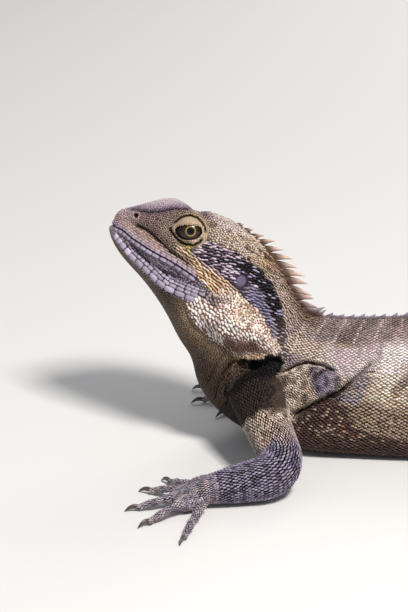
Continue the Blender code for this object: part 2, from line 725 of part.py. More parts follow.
def make_limbs():
    """Both arms with their hands and both legs with their feet, before they are cut to the trunk."""
    arm = (("upper_arm", "forearm", "hand"), ARM_JOINTS, ARM_BEND, ARM_THICKNESS)
    leg = (("thigh", "shank", "foot"), LEG_JOINTS, LEG_BEND, LEG_THICKNESS)
    nodes = []
    for side_name in SIDES:
        nodes += make_limb(side_name, *arm, HAND_HEADING, HAND_DIGITS, HAND_PALM)
        nodes += make_limb(side_name, *leg, FOOT_HEADING, FOOT_DIGITS, FOOT_PALM)
    return nodes


def finish(node, parent, look):
    """Rests a node on the floor, gives it its look and puts its origin at its own middle."""
    if not node.name.startswith("eye"):
        combine(node, [floor_cutter()], "DIFFERENCE")
    node.data.materials.clear()
    node.data.materials.append(look)
    node.data.shade_smooth()
    node.data.set_sharp_from_angle(angle=math.radians(SHARP_ANGLE))
    corners = [Vector(corner) for corner in node.bound_box]
    middle = (corners[0] + corners[6]) / 2
    node.data.transform(Matrix.Translation(-middle))
    node.location = middle
    node.parent = parent


def main():
    for obj in list(bpy.data.objects):
        bpy.data.objects.remove(obj)
    dragon = bpy.data.objects.new("water_dragon", None)
    bpy.context.scene.collection.objects.link(dragon)
    trunk = make_trunk(Body())
    limbs = make_limbs()
    by_name = {node.name: node for node in trunk}
    for limb in limbs:
        if limb.name.endswith(("upper_arm", "thigh")):
            near = ("neck", "torso") if limb.name.endswith("arm") else ("torso", "tail_base")
            for name in near:
                combine(limb, [grown(by_name[name])], "DIFFERENCE")
    skin = material("skin", (0.36, 0.30, 0.22), 0.7)
    limb_skin = material("limb skin", (0.10, 0.10, 0.12), 0.65)
    eye = material("eye", (0.05, 0.03, 0.015), 0.15)
    for node in trunk:
        finish(node, dragon, eye if node.name.startswith("eye") else skin)
    for node in limbs:
        finish(node, dragon, limb_skin)


main()
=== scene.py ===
"""Looks of the eastern water dragon: one skin over the whole animal, its scales, crest, eyes and
claws, with the floor, the lights and the camera.

+Z is up, the snout points towards -X and the animal's left side faces -Y. The shapes are worked
out in millimetres, like the solids, and turned into metres where a mesh is made.
"""

import json
import math

import bmesh
import bpy
import numpy as np
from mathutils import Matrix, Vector
from mathutils.bvhtree import BVHTree
from mathutils.kdtree import KDTree

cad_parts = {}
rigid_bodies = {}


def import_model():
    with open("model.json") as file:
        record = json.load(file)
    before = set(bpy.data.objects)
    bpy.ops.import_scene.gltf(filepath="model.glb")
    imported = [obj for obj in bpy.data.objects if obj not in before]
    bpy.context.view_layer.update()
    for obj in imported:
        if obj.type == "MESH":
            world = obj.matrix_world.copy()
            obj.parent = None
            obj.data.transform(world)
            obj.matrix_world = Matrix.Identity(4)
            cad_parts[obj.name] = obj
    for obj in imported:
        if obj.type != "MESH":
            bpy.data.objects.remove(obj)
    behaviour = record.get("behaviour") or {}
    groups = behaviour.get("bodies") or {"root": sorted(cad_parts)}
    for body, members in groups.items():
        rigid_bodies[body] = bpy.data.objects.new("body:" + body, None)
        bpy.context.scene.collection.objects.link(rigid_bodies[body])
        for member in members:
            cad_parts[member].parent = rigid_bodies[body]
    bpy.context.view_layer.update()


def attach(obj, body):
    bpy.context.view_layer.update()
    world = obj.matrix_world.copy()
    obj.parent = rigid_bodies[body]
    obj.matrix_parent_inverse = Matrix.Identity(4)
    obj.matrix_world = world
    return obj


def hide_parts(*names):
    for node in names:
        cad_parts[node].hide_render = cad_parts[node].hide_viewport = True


MM = 0.001
SIDES = {"left": -1, "right": 1}
FLESH = ("head", "neck", "torso", "tail_base", "tail_upper", "tail_middle", "tail_lower", "tail_tip")
LIMBS = ("upper_arm", "forearm", "hand", "thigh", "shank", "foot")

# Skin: how far it lies inside the solids, how far it and its scales keep from the floor, the size
# of its mesh cells and where they are halved: in front of, above and between these.
SKIN_INSET = 0.3
SKIN_CLEARANCE = 0.05
SCALE_CLEARANCE = 0.02
SKIN_CELL = 0.75
FINE_SKIN_END = -30.0
FINE_SKIN_FLOOR = 10.0
FINE_SKIN_SIDE = 46.0

# Head: its own frame starts at the front of the mouth line and runs back along it. Lines of sight on
# its side start far out.
SNOUT_X = -129.5
SNOUT_Z = 81.0
HEAD_PITCH = math.radians(33)
HEAD_ROLL = math.radians(16)
ROLL_HEIGHT = 40.0
EYE_BACK = 25.2
EYE_UP = 14.7
EYE_OUT = 8.1
EYE_RADIUS = 5.7
LID_RADIUS = 6.5
LID_INSIDE = 6.02
LID_SCALE = 0.62
LID_RIM_RADIUS = 4.2
LID_OPENING = (5.1, 2.35, 3.5)
LID_SHIFT = -0.75
LID_TILT = math.radians(33)
NOSTRIL = (5.3, 8.3)
EAR = (50.4, 9.6)
MOUTH_LENGTH = 36.0
FAR_OUT = 60
JOWL_BACK = 60.0
JOWL_UP = -4.6
JOWL_TILT = math.radians(10)
JOWL_LENGTH = 18.5
JOWL_HEIGHT = 7.6
JOWL_BULGE = 3.8
JOWL_EDGE = 0.4

LINES = 14
TAIL_START = 62.0
TAIL_LENGTH = 490.0
TAIL_HALF_HEIGHT = 12.2
TAIL_HALF_WIDTH = 11.6
TAIL_TIP = 0.9
TAIL_TAPER = 1.35
TAIL_SWING = math.radians(34)

# Each line of the head runs from snout to nape: half width and height at distances back from the
# snout, from the crown down to the chin.
HEAD_LINES = (
    (
        "crown",
        ((0, 0), (50, 0)),
        ((0, 8.0), (3.5, 11.7), (6.7, 15.3), (9.3, 18.2), (13.1, 21.2), (17, 22.2), (20.6, 22), (24, 22.6),
         (28.6, 24.6), (37, 26), (44, 25.6)),
    ),
    (
        "brow",
        ((0, 2.2), (4, 4.2), (9, 6.6), (14, 9.6), (20, 11.6), (27, 12.2), (34, 11), (44, 10.5)),
        ((0, 6.2), (4, 10.2), (8, 14.2), (13.6, 18), (19, 20.6), (23.8, 22.2), (28, 22.6), (34, 23.2),
         (44, 21.6)),
    ),
    (
        "side",
        ((0, 3.3), (4, 5.2), (9, 7.3), (16, 9.6), (25, 12.6), (34, 14), (44, 16)),
        ((0, 3.2), (4, 6.2), (9, 10), (16, 13), (25, 14.4), (34, 14), (44, 12)),
    ),
    (
        "cheek",
        ((0, 3.5), (4, 5.8), (9, 8.2), (16, 10.9), (25, 14), (36, 17.2), (44, 18.6)),
        ((0, 2), (9, 4), (25, 6.2), (36, 6.4), (44, 5.2)),
    ),
    (
        "lip",
        ((0, 3.2), (4, 5.9), (9, 8.5), (16, 11.3), (25, 14.7), (36, 18.4), (44, 19.6)),
        ((0, 0.3), (3, 0.9), (9, 0.6), (17, 0.7), (25, 1.5), (30, 1.7), (36, 1.5), (44, 0)),
    ),
    (
        "jaw",
        ((0, 2.2), (4, 4.8), (9, 7), (16, 9.6), (25, 12.9), (36, 16), (44, 17)),
        ((0, -1.7), (4, -3.6), (9, -5), (16, -6.6), (25, -9), (36, -12.2), (44, -15)),
    ),
    (
        "throat",
        ((0, 1.1), (4, 2.6), (9, 3.9), (16, 5.2), (25, 6.8), (36, 8.4), (44, 9.2)),
        ((0, -2.3), (9, -6.6), (20, -9.8), (30, -13.2), (44, -20.5)),
    ),
    ("chin", ((0, 0), (50, 0)), ((0, -2.7), (4, -5.4), (9, -7.5), (20, -10.5), (30, -14.2), (44, -21.8))),
)
HEAD_STATIONS = (0, 3, 6.5, 10, 14, 19, 25, 34, 44)
NOSE_ROUNDING = (math.radians(72), math.radians(40))
NOSE_LENGTH = 1.9
NOSE_MIDDLE = (0.0, 0.0, 1.2)

# Rings across the neck and trunk: back (x, z), belly (x, z), half width, how far down the ring is
# widest, and how round its lower half is, from 1 for an ellipse down to a box at 0.
BODY_RINGS = {
    "occiput": ((-74.0, 74.4), (-101.0, 33.4), 18.6, 0.55, 0.90),
    "nape": ((-67.0, 65.3), (-97.6, 22.4), 17.6, 0.58, 0.90),
    "neck": ((-62.6, 57.2), (-92.4, 14.2), 17.2, 0.60, 0.85),
    "shoulder": ((-58.0, 50.2), (-84.6, 8.2), 19.2, 0.62, 0.75),
    "chest": ((-47.0, 47.6), (-68.0, 1.8), 23.2, 0.64, 0.60),
    "ribs": ((-28.0, 47.2), (-38.0, -0.8), 26.4, 0.66, 0.52),
    "flank": ((0.0, 48.6), (-3.0, -1.0), 28.2, 0.67, 0.50),
    "loin": ((26.0, 45.0), (25.0, -0.8), 25.6, 0.64, 0.56),
    "pelvis": ((44.0, 36.6), (44.0, -0.4), 20.6, 0.58, 0.75),
}
RING_ANGLES = tuple(math.radians(a) for a in (0, 24, 50, 76, 100, 124, 152, 180))
ROOF_SHAPE = 1.2
TAIL_STATIONS = (0, 22, 50, 90, 140, 190, 240, 290, 340, 390, 440, 490)

# Limbs: joints from root to end and half thicknesses there, for the left and the right side.
ARM_JOINTS = {
    "left": ((-79, -12, 28), (-66, -57, 9.6), (-93, -63, 6.4)),
    "right": ((-78, 12, 29), (-46, 47, 13), (-70, 36, 7.2)),
}
LIMB_WIDTH = 0.94
ARM_BEND = 9.8
ARM_THICKNESS = ((0, 10.4), (0.3, 9.2), (0.5, 8.4), (0.68, 8.1), (0.86, 7.0), (1, 5.4))
LEG_JOINTS = {
    "left": ((38, -5, 19), (16, -52, 22), (53, -71, 9)),
    "right": ((38, 5, 19), (21, 54, 22), (60, 68, 9)),
}
LEG_BEND = 11.5
LEG_THICKNESS = ((0, 13), (0.25, 12.8), (0.48, 9.4), (0.66, 8.8), (0.84, 6.2), (1, 4.8))

# Hands and feet: heading of the middle digit; for each digit its angle outwards from that heading,
# its reach from the wrist or ankle with the claw, and its half thickness; for each palm or sole its
# length, half width, half height and where its outer digit starts.
HAND_HEADING = {"left": math.radians(192), "right": math.radians(186)}
HAND_DIGITS = ((-62, 28, 1.6), (-36, 28.5, 1.75), (-2, 31, 1.8), (25, 32, 1.8), (60, 35, 1.7))
FOOT_HEADING = {"left": math.radians(232), "right": math.radians(126)}
FOOT_DIGITS = ((-30, 31, 1.7), (-17, 42, 1.9), (-5, 53, 2.0), (8, 64, 2.1), (52, 38, 1.8))
HAND_PALM = (13.0, 7.2, 4.2, 7.0)
FOOT_PALM = (22.0, 7.0, 4.6, 5.0)
OUTER_DIGIT = 45
FLAT = 0.2
CLAW_LENGTH = 4.2
CLAW_THICKNESS = 0.86
DIGIT_ARCH = ((0, 4.4, 1.0), (0.4, 3.9, 1.0), (0.75, 2.4, 0.88))
DIGIT_END = 0.74


def smooth(knots, values, at):
    """A smooth curve through values at knots: cubic pieces whose slopes come from the neighbours."""
    knots = np.asarray(knots, float)
    values = np.asarray(values, float).reshape(len(knots), -1)
    at = np.atleast_1d(np.asarray(at, float))
    steps = np.diff(knots)[:, None]
    chords = np.diff(values, axis=0) / steps
    slopes = np.empty_like(values)
    slopes[0] = chords[0]
    slopes[-1] = chords[-1]
    slopes[1:-1] = (chords[:-1] * steps[1:] + chords[1:] * steps[:-1]) / (steps[:-1] + steps[1:])
    piece = np.clip(np.searchsorted(knots, at, side="right") - 1, 0, len(knots) - 2)
    share = (at - knots[piece])[:, None] / steps[piece]
    return cubic(values[piece], values[piece + 1], slopes[piece], slopes[piece + 1], steps[piece], share)


def cubic(first, last, first_slope, last_slope, step, share):
    """The cubic from first to last with those slopes, at a share of the way."""
    square = share * share
    cube = square * share
    return (
        first * (2 * cube - 3 * square + 1)
        + last * (3 * square - 2 * cube)
        + step * (first_slope * (cube - 2 * square + share) + last_slope * (cube - square))
    )


def ease(share):
    """0 below 0 and 1 above 1, with a smooth step between them."""
    share = np.clip(share, 0, 1)
    return share * share * (3 - 2 * share)


def value(pairs, at):
    """One number read from a curve given as (position, value) pairs, held level past its ends."""
    knots, values = zip(*pairs)
    return float(smooth(knots, values, min(max(at, knots[0]), knots[-1]))[0, 0])


def unit(vectors):
    """Vectors scaled to length 1."""
    vectors = np.asarray(vectors, float)
    return vectors / np.maximum(np.linalg.norm(vectors, axis=-1, keepdims=True), 1e-9)


def running_length(points):
    """Distance along a line of points, at each of them."""
    steps = np.linalg.norm(np.diff(points, axis=0), axis=1)
    return np.concatenate([[0], np.cumsum(steps)])


def from_head(back, out, up):
    """A point of the head's frame in the animal's frame, before the head is rolled."""
    x = SNOUT_X + back * math.cos(HEAD_PITCH) + up * math.sin(HEAD_PITCH)
    z = SNOUT_Z - back * math.sin(HEAD_PITCH) + up * math.cos(HEAD_PITCH)
    return np.array([x, out, z])


def to_head(points):
    """Distance back, out and up in the head's frame of points that aren't rolled."""
    x = points[..., 0] - SNOUT_X
    z = points[..., 2] - SNOUT_Z
    back = x * math.cos(HEAD_PITCH) - z * math.sin(HEAD_PITCH)
    up = x * math.sin(HEAD_PITCH) + z * math.cos(HEAD_PITCH)
    return back, points[..., 1], up


def rolled(points, angle):
    """Points turned about the long axis at the roll height, the top away from -Y."""
    points = np.asarray(points, float)
    height = points[..., 2] - ROLL_HEIGHT
    cos, sin = np.cos(angle), np.sin(angle)
    y = points[..., 1] * cos + height * sin
    z = ROLL_HEIGHT - points[..., 1] * sin + height * cos
    return np.stack([points[..., 0], y, z], axis=-1)


def head_point(back, out, up):
    """A point of the head's frame in the animal's frame, with the head rolled."""
    return rolled(from_head(back, out, up), HEAD_ROLL)


def head_ring(back):
    """Half a ring of the head, on the left side, from the crown down to the chin."""
    places = ((value(widths, back), value(heights, back)) for _, widths, heights in HEAD_LINES)
    return np.array([from_head(back, -out, up) for out, up in places])


def nose_ring(angle):
    """The first ring of the head drawn in and forwards, to round off the nose."""
    middle = from_head(*NOSE_MIDDLE)
    forward = from_head(-NOSE_LENGTH * math.sin(angle), 0, 0) - from_head(0, 0, 0)
    return middle + (head_ring(0) - middle) * math.cos(angle) + forward


def body_ring(back, belly, half_width, widest, roundness):
    """Half a ring of the neck or trunk, in the plane that holds its back, its belly and the Y axis."""
    back, belly = (np.array([x, 0, z], float) for x, z in (back, belly))
    points = []
    for angle in RING_ANGLES:
        down, across = math.cos(angle), max(math.sin(angle), 0.0)
        if angle < math.pi / 2:
            share = widest * (1 - down)
            out = half_width * across**ROOF_SHAPE
        else:
            share = widest + (1 - widest) * (-down) ** roundness
            out = half_width * across**roundness
        points.append(back + (belly - back) * share - np.array([0, out, 0]))
    return np.array(points)


def full_ring(half):
    """A whole ring, down the left side and up the right, from the left half."""
    return np.concatenate([half, half[-2:0:-1] * (1, -1, 1)])


def tail_middle(along):
    """Where the tail's line lies on the floor at a distance from the vent, and its heading."""
    steps = (np.arange(80) + 0.5) / 80 * along
    heading = TAIL_SWING * np.sin(2 * math.pi * steps / TAIL_LENGTH)
    x = TAIL_START + along * np.cos(heading).mean()
    y = along * np.sin(heading).mean()
    return x, y, TAIL_SWING * math.sin(2 * math.pi * along / TAIL_LENGTH)


def tail_ring(along):
    """A whole ring of the tail, square to its line and resting on the floor."""
    share = 1 - along / TAIL_LENGTH
    half_height = TAIL_TIP + (TAIL_HALF_HEIGHT - TAIL_TIP) * share**TAIL_TAPER
    half_width = TAIL_TIP + (TAIL_HALF_WIDTH - TAIL_TIP) * share**TAIL_TAPER
    x, y, heading = tail_middle(along)
    ring = full_ring(body_ring((0, 2 * half_height), (0, -0.04 * half_height), half_width, 0.5, 0.8))
    out = ring[:, 1].copy()
    ring[:, 0] = x - out * math.sin(heading)
    ring[:, 1] = y + out * math.cos(heading)
    return ring


def body_stations():
    """The rings that the body's surface passes through, by name, from the nose to the tail's tip."""
    stations = [(f"nose {angle:.1f}", full_ring(nose_ring(angle))) for angle in NOSE_ROUNDING]
    stations += [(f"head {back}", full_ring(head_ring(back))) for back in HEAD_STATIONS]
    stations += [(name, full_ring(body_ring(*ring))) for name, ring in BODY_RINGS.items()]
    stations += [(f"tail {along}", tail_ring(along)) for along in TAIL_STATIONS]
    return stations


class Body:
    """The whole body from nose to tail as one smooth surface: along is the distance back in
    millimetres, round is the line counted down the left side from the back and up the right."""

    def __init__(self):
        self.names, rings = zip(*body_stations())
        self.rings = np.array(rings)
        self.along = running_length(self.rings.mean(axis=1))

    def at(self, name):
        """The distance back of a named station."""
        return float(self.along[self.names.index(name)])

    def roll(self, along):
        """How far the ring at a distance back is rolled: the head fully, the trunk not at all."""
        first, last = self.at("occiput"), self.at("shoulder")
        return HEAD_ROLL * ease((last - np.asarray(along, float)) / (last - first))

    def points(self, along, round_):
        """The grid of surface points at those distances back and positions round each ring."""
        rings = smooth(self.along, self.rings, along).reshape(-1, LINES, 3)
        after = np.roll(rings, -1, axis=1)
        lengths = np.linalg.norm(after - rings, axis=2)[..., None]
        chords = (after - rings) / lengths
        before, shorter = np.roll(chords, 1, axis=1), np.roll(lengths, 1, axis=1)
        slopes = (before * lengths + chords * shorter) / (lengths + shorter)
        line = np.floor(round_).astype(int) % LINES
        after = (line + 1) % LINES
        share = (np.asarray(round_) - np.floor(round_))[None, :, None]
        ends = rings[:, line], rings[:, after], slopes[:, line], slopes[:, after]
        grid = with_jowls(cubic(*ends, lengths[:, line], share))
        return rolled(grid, self.roll(along)[:, None])


def with_jowls(grid):
    """The grid with the jowls swollen."""
    back, out, up = to_head(grid)
    turn = np.exp(-1j * JOWL_TILT) * ((back - JOWL_BACK) + 1j * (up - JOWL_UP))
    along_jowl, across_jowl = turn.real / JOWL_LENGTH, turn.imag / JOWL_HEIGHT
    edge = JOWL_EDGE + (1 - JOWL_EDGE) * ease(across_jowl + 0.5)
    jowl = ease((1 - np.abs(along_jowl) ** 1.2 - across_jowl**2) / edge)
    grid = grid.copy()
    grid[..., 1] += np.sign(out) * JOWL_BULGE * jowl
    return grid


def bent_path(joints, bend, count):
    """Points along straight lines through the joints, with the bend as a circular arc, evenly spaced."""
    first, middle, last = (np.array(j, float) for j in joints)
    arrive, leave = unit(middle - first), unit(last - middle)
    turn = math.acos(np.clip(arrive @ leave, -1, 1))
    reach = bend * math.tan(turn / 2)
    centre_way = leave - arrive
    centre = middle - arrive * reach + bend * unit(centre_way - arrive * (centre_way @ arrive))
    fine = [first + (middle - arrive * reach - first) * s for s in np.linspace(0, 1, 40)]
    spoke = middle - arrive * reach - centre
    for angle in np.linspace(0, turn, 60)[1:]:
        fine.append(centre + spoke * math.cos(angle) + arrive * bend * math.sin(angle))
    fine += [fine[-1] + (last - fine[-1]) * s for s in np.linspace(0, 1, 40)[1:]]
    fine = np.array(fine)
    lengths = running_length(fine)
    spots = np.linspace(0, lengths[-1], count)
    return np.stack([np.interp(spots, lengths, fine[:, k]) for k in range(3)], axis=1)


def tube_rings(path, half_heights, half_widths, around):
    """Rings square to a path, each an ellipse with those half sizes upwards and sideways."""
    ways = unit(np.gradient(path, axis=0))
    rings = []
    for point, way, height, width in zip(path, ways, half_heights, half_widths):
        side = unit(np.cross(way, (0, 0, 1)))
        up = np.cross(side, way)
        angles = 2 * math.pi * np.arange(around) / around
        rings.append(point + np.outer(np.cos(angles), up) * height + np.outer(np.sin(angles), side) * width)
    return np.array(rings)


class Tube:
    """One tube-like stretch of the animal as a grid of points, with its place on the UV map."""

    def __init__(self, name, kind, side, grid):
        self.name, self.kind, self.side, self.grid = name, kind, side, grid
        self.lengths = running_length(grid.mean(axis=1))


def resampled(path, sizes, count):
    """A path and the sizes along it as smooth curves of many points."""
    knots = np.arange(len(path))
    at = np.linspace(0, len(path) - 1, count)
    return smooth(knots, path, at), smooth(knots, sizes, at)


def digit_tube(name, side, root, heading, start, reach, half):
    """One finger or toe with its knuckles, arched from the palm to the floor, and its claw's path."""
    way = np.array([math.cos(heading), math.sin(heading), 0])
    claw = reach - CLAW_LENGTH
    length = claw - start
    stations = [(start + length * share, height, size) for share, height, size in DIGIT_ARCH]
    stations.append((claw, half * DIGIT_END - FLAT, DIGIT_END))
    path = np.array([root + way * out + np.array([0, 0, height]) for out, height, _ in stations])
    path, sizes = resampled(path, [half * share for _, _, share in stations], 40)
    share = np.linspace(0, 1, 40)
    knuckles = 1 + 0.10 * np.cos(2 * math.pi * 3 * share + 0.6) * ease(share / 0.2)
    sizes = sizes[:, 0] * knuckles
    end = ease((1 - share) / 0.05)
    sizes = sizes * (0.62 + 0.38 * end)
    return Tube(name, "digit", side, tube_rings(path, sizes, sizes, 14)), root + way * claw, way


def limb_tubes(side_name, names, joints, bend, thickness, heading, digits, palm):
    """The tubes of one limb with its hand or foot, and where each claw grows and points."""
    side = SIDES[side_name]
    limb, last = names
    count = 70
    path = bent_path(joints[side_name], bend, count)
    half = smooth(*zip(*thickness), np.linspace(0, 1, count))[:, 0]
    tubes = [Tube(f"{side_name}_{limb}", limb, side, tube_rings(path, half, half * LIMB_WIDTH, 36))]
    end, way, limb_half = path[-1], unit(path[-1] - path[-2]), thickness[-1][1]
    length, half_width, half_height, outer_start = palm
    root = np.array([end[0], end[1], 0.0])
    turn = heading[side_name]
    forward = np.array([math.cos(turn), math.sin(turn), 0])
    low = half_height - FLAT
    path = np.array([
        end - way * 1.5,
        end + way * 2.5 + forward,
        root + forward * length * 0.55 + (0, 0, low + 0.3),
        root + forward * (length - 1.5) + (0, 0, low * 0.85),
        root + forward * (length + 1.5) + (0, 0, low * 0.8),
    ])
    heights = (limb_half, limb_half, half_height, half_height * 0.85, half_height * 0.4)
    widths = (limb_half * LIMB_WIDTH, limb_half, half_width, half_width, half_width * 0.6)
    path, sizes = resampled(path, np.stack([heights, widths], axis=1), 30)
    tubes.append(Tube(f"{side_name}_{last}", last, side, tube_rings(path, sizes[:, 0], sizes[:, 1], 28)))
    claws = []
    for number, (angle, reach, digit_half) in enumerate(digits):
        begin = outer_start if angle > OUTER_DIGIT else length * 0.55
        name = f"{side_name}_{last}_{number + 1}"
        aim = turn - side * math.radians(angle)
        tube, claw, claw_way = digit_tube(name, side, root, aim, begin, reach, digit_half)
        tubes.append(tube)
        claws.append((claw, claw_way))
    return tubes, claws


def all_tubes(body):
    """The body and the limbs as tubes, the body first, and the places of the claws."""
    along = np.concatenate([
        np.arange(0, body.at("shoulder") + 8, 0.5),
        np.arange(body.at("shoulder") + 8, body.at("tail 0"), 1.0),
        np.linspace(body.at("tail 0"), body.along[-1], 330),
    ])
    round_ = np.arange(0, LINES, 1 / 12)
    trunk = Tube("body", "body", 0, body.points(along, round_))
    trunk.along, trunk.round = along, round_
    tubes, claws = [trunk], []
    for side_name in SIDES:
        for part in (
            (("arm", "hand"), ARM_JOINTS, ARM_BEND, ARM_THICKNESS, HAND_HEADING, HAND_DIGITS, HAND_PALM),
            (("leg", "foot"), LEG_JOINTS, LEG_BEND, LEG_THICKNESS, FOOT_HEADING, FOOT_DIGITS, FOOT_PALM),
        ):
            more, nails = limb_tubes(side_name, *part)
            tubes += more
            claws += nails
    return tubes, claws


class Surface:
    """The tubes as one set of faces, to find where on the animal a point lies."""

    def __init__(self, body, tubes):
        self.body, self.tubes = body, tubes
        points, faces, owner, rows, columns = [], [], [], [], []
        start = 0
        for number, tube in enumerate(tubes):
            count, around = tube.grid.shape[:2]
            row, column = np.divmod(np.arange((count - 1) * around), around)
            here, beside = start + row * around + column, start + row * around + (column + 1) % around
            faces.append(np.stack([here, beside, beside + around, here + around], axis=1))
            points.append(tube.grid.reshape(-1, 3))
            owner.append(np.full(len(row), number))
            rows.append(row)
            columns.append(column)
            start += count * around
        self.points = np.concatenate(points)
        self.faces = np.concatenate(faces)
        self.owner, self.row, self.column = (np.concatenate(part) for part in (owner, rows, columns))
        self.tree = BVHTree.FromPolygons(self.points.tolist(), self.faces.tolist())
        self.around = np.array([tube.grid.shape[1] for tube in tubes])
        self.count = np.array([tube.grid.shape[0] for tube in tubes])

    def places(self, points):
        """Where each point lies: its tube, and its row and column there with their fractions."""
        face = np.array([self.tree.find_nearest(point)[2] for point in points.tolist()])
        corners = self.points[self.faces[face]]
        across = corners[:, 1] - corners[:, 0]
        down = corners[:, 3] - corners[:, 0]
        offset = points - corners[:, 0]
        column = np.clip((offset * across).sum(axis=1) / np.maximum((across**2).sum(axis=1), 1e-9), 0, 1)
        row = np.clip((offset * down).sum(axis=1) / np.maximum((down**2).sum(axis=1), 1e-9), 0, 1)
        return Places(self, points, self.owner[face], self.row[face] + row, self.column[face] + column)


class Places:
    """Points of the animal with the coordinates that its shape and markings are drawn by: along and
    round on the body, down the lines counted from the back on either side, share and turn along and
    round their own tube, and back, out and up in the head's frame."""

    def __init__(self, surface, points, tube, row, column):
        self.surface, self.points, self.tube, self.row, self.column = surface, points, tube, row, column
        trunk = surface.tubes[0]
        self.on_body = tube == 0
        self.along = np.interp(row, np.arange(len(trunk.along)), trunk.along)
        self.round = column / surface.around[0] * LINES
        self.down = np.minimum(self.round, LINES - self.round)
        self.share = row / np.maximum(surface.count[tube] - 1, 1)
        self.turn = column / surface.around[tube]
        unrolled = rolled(points, -surface.body.roll(self.along))
        self.back, self.out, self.up = to_head(unrolled)
        self.side_points = np.stack([self.back, self.up], axis=1)

    def uv(self):
        """Places on the unwrap: the body in one wide strip, each limb tube in a strip of its own."""
        count = len(self.surface.tubes) - 1
        strip = (self.tube - 1) % count
        u = 0.02 + 0.96 * self.share
        v = np.where(self.on_body, 0.02 + 0.48 * self.turn, 0.52 + 0.46 * (strip + 0.9 * self.turn) / count)
        return np.stack([u, v], axis=1)


def segment_distance(points, line):
    """Distance of 2D or 3D points from a line of points, and which way along it the nearest lies."""
    line = np.asarray(line, float)
    best = np.full(len(points), np.inf)
    share = np.zeros(len(points))
    for number, (start, end) in enumerate(zip(line[:-1], line[1:])):
        way = end - start
        t = np.clip((points - start) @ way / max(way @ way, 1e-9), 0, 1)
        gap = np.linalg.norm(points - start - t[:, None] * way, axis=1)
        nearer = gap < best
        best = np.where(nearer, gap, best)
        share = np.where(nearer, (number + t) / (len(line) - 1), share)
    return best, share


def inside_distance(points, outline):
    """Distance of 2D points from a closed outline, positive inside it."""
    outline = np.asarray(outline, float)
    gap, _ = segment_distance(points, np.concatenate([outline, outline[:1]]))
    x, y = points[:, 0], points[:, 1]
    inside = np.zeros(len(points), bool)
    for (x0, y0), (x1, y1) in zip(outline, np.roll(outline, -1, axis=0)):
        crosses = (y0 > y) != (y1 > y)
        inside ^= crosses & (x < (x1 - x0) * (y - y0) / (y1 - y0 if y1 != y0 else 1e-9) + x0)
    return np.where(inside, gap, -gap)


def within(points, outline, margin=0):
    """Which 2D points lie inside a closed outline by more than a margin."""
    return inside_distance(points, outline) > margin


def off_ends(share, part):
    """1 along a line and 0 at its ends, easing over a part of it at each."""
    return ease(share / part) * ease((1 - share) / part)


def ripples(points, size, seed):
    """A smooth irregular field between about -1 and 1 whose patches are about that size."""
    rng = np.random.default_rng(seed)
    total = np.zeros(len(points))
    for _ in range(9):
        way = unit(rng.normal(size=3))
        total += np.sin(points @ way * (2 * math.pi / (size * rng.uniform(1.4, 3.2))) + rng.uniform(0, 6.3))
    return total / 3.2


def fade(distance, width):
    """1 at a line and 0 beyond its width, as a bell."""
    return np.exp(-((distance / width) ** 2))


# Lines and closed outlines on the side of the head in its own frame, back and up from the snout:
# creases, folds, rows of plates and areas of one colour or kind of scale.
CANTHUS = ((1, 8.1), (4, 9.8), (6.4, 10.9), (9, 12.3), (12, 14.4), (14, 16.6), (16, 18.3), (19, 20.4),
           (21.6, 21.8), (24, 22.8), (27, 22.8))
UPPER_LID = ((18.6, 12.6), (19.0, 15.3), (19.9, 17.6), (21.8, 19.4), (24.5, 20.1), (26.9, 19.6), (29.0, 18.4),
             (30.6, 16.6))
LOWER_LID = ((18.2, 12.2), (18.6, 10.9), (21.1, 9.9), (24.1, 9.3), (26.4, 9.7), (28.5, 10.7), (30.2, 13.1),
             (30.2, 15.7))
LOREAL = ((5.8, 4.9), (8.8, 5.7), (10.8, 6.1), (13.9, 6.0), (18, 5.2), (22, 4.4), (25.6, 4.2), (29.5, 4.3),
          (33, 4.4))
LABIAL_GROOVE = ((5, -0.6), (8, -1.0), (11.3, -1.7), (14.5, -2.5), (19.1, -3.3), (23.3, -3.1), (27.1, -2.4),
                 (30.1, -1.7), (34, -0.8))
CHIN_ROW = ((2.2, -1.7), (4.2, -2.5), (8.4, -3.9), (12.4, -5.1), (16.2, -5.7), (20, -6.3), (25.3, -7.3),
            (28.9, -7.5), (33.5, -6.7), (37.3, -5.9), (41.1, -5.1))
GULAR_EDGE = ((36.8, -8.6), (40, -11.8), (44.7, -14.5), (50.4, -14.4), (54, -13.6), (57.8, -12.8),
              (62, -11.2))
JOWL_RIDGE = ((46, -5.6), (50, -6.2), (54.7, -4.5), (58, -2.9), (62, -2.0), (66.6, -1.4), (71.3, -1.6),
              (76, -1.2))
CREAM_TOP = ((26.4, 9.0), (31, 8.4), (36, 8.0), (40, 8.2), (44, 7.7), (48, 6.6), (52, 6.0), (56, 5.4),
             (60, 5.0), (64, 4.2), (68, 2.4), (72, 0.8), (77, -1.2))
TEMPLE_TOP = ((28.2, 13.4), (32.4, 15.0), (36.7, 16.4), (41.4, 17.3), (46.4, 17.2), (50.8, 16.5),
              (55.7, 15.8), (60, 15.6), (65, 12.6), (69.8, 8.7), (74, 3.4), (78, -0.8))
JOWL_OUTLINE = ((39, -5.0), (43.5, 1.0), (50, 4.6), *CREAM_TOP[6:], (74, -3.4), (68.5, -5.4), (65.0, -10.0),
                (60.7, -12.2), (57.6, -12.8), (53.2, -13.7), (47.6, -13.2), (42, -11.2), (38, -8.6))
FLAP_OUTLINE = ((54.4, -9.3), (58.4, -6.8), (61.9, -4.3), (65.3, -2.0), (69.5, -1.7), (72.4, -1.4),
                (71.0, -4.0), (69.3, -5.6), (66.8, -8.3), (63.6, -11.3), (60.0, -12.5), (56.4, -12.4))
FLAP_EDGE = ((60.0, -13.2), (63.6, -11.6), (66.8, -8.6), (69.3, -5.8), (72.0, -2.6), (75.5, -1.5))
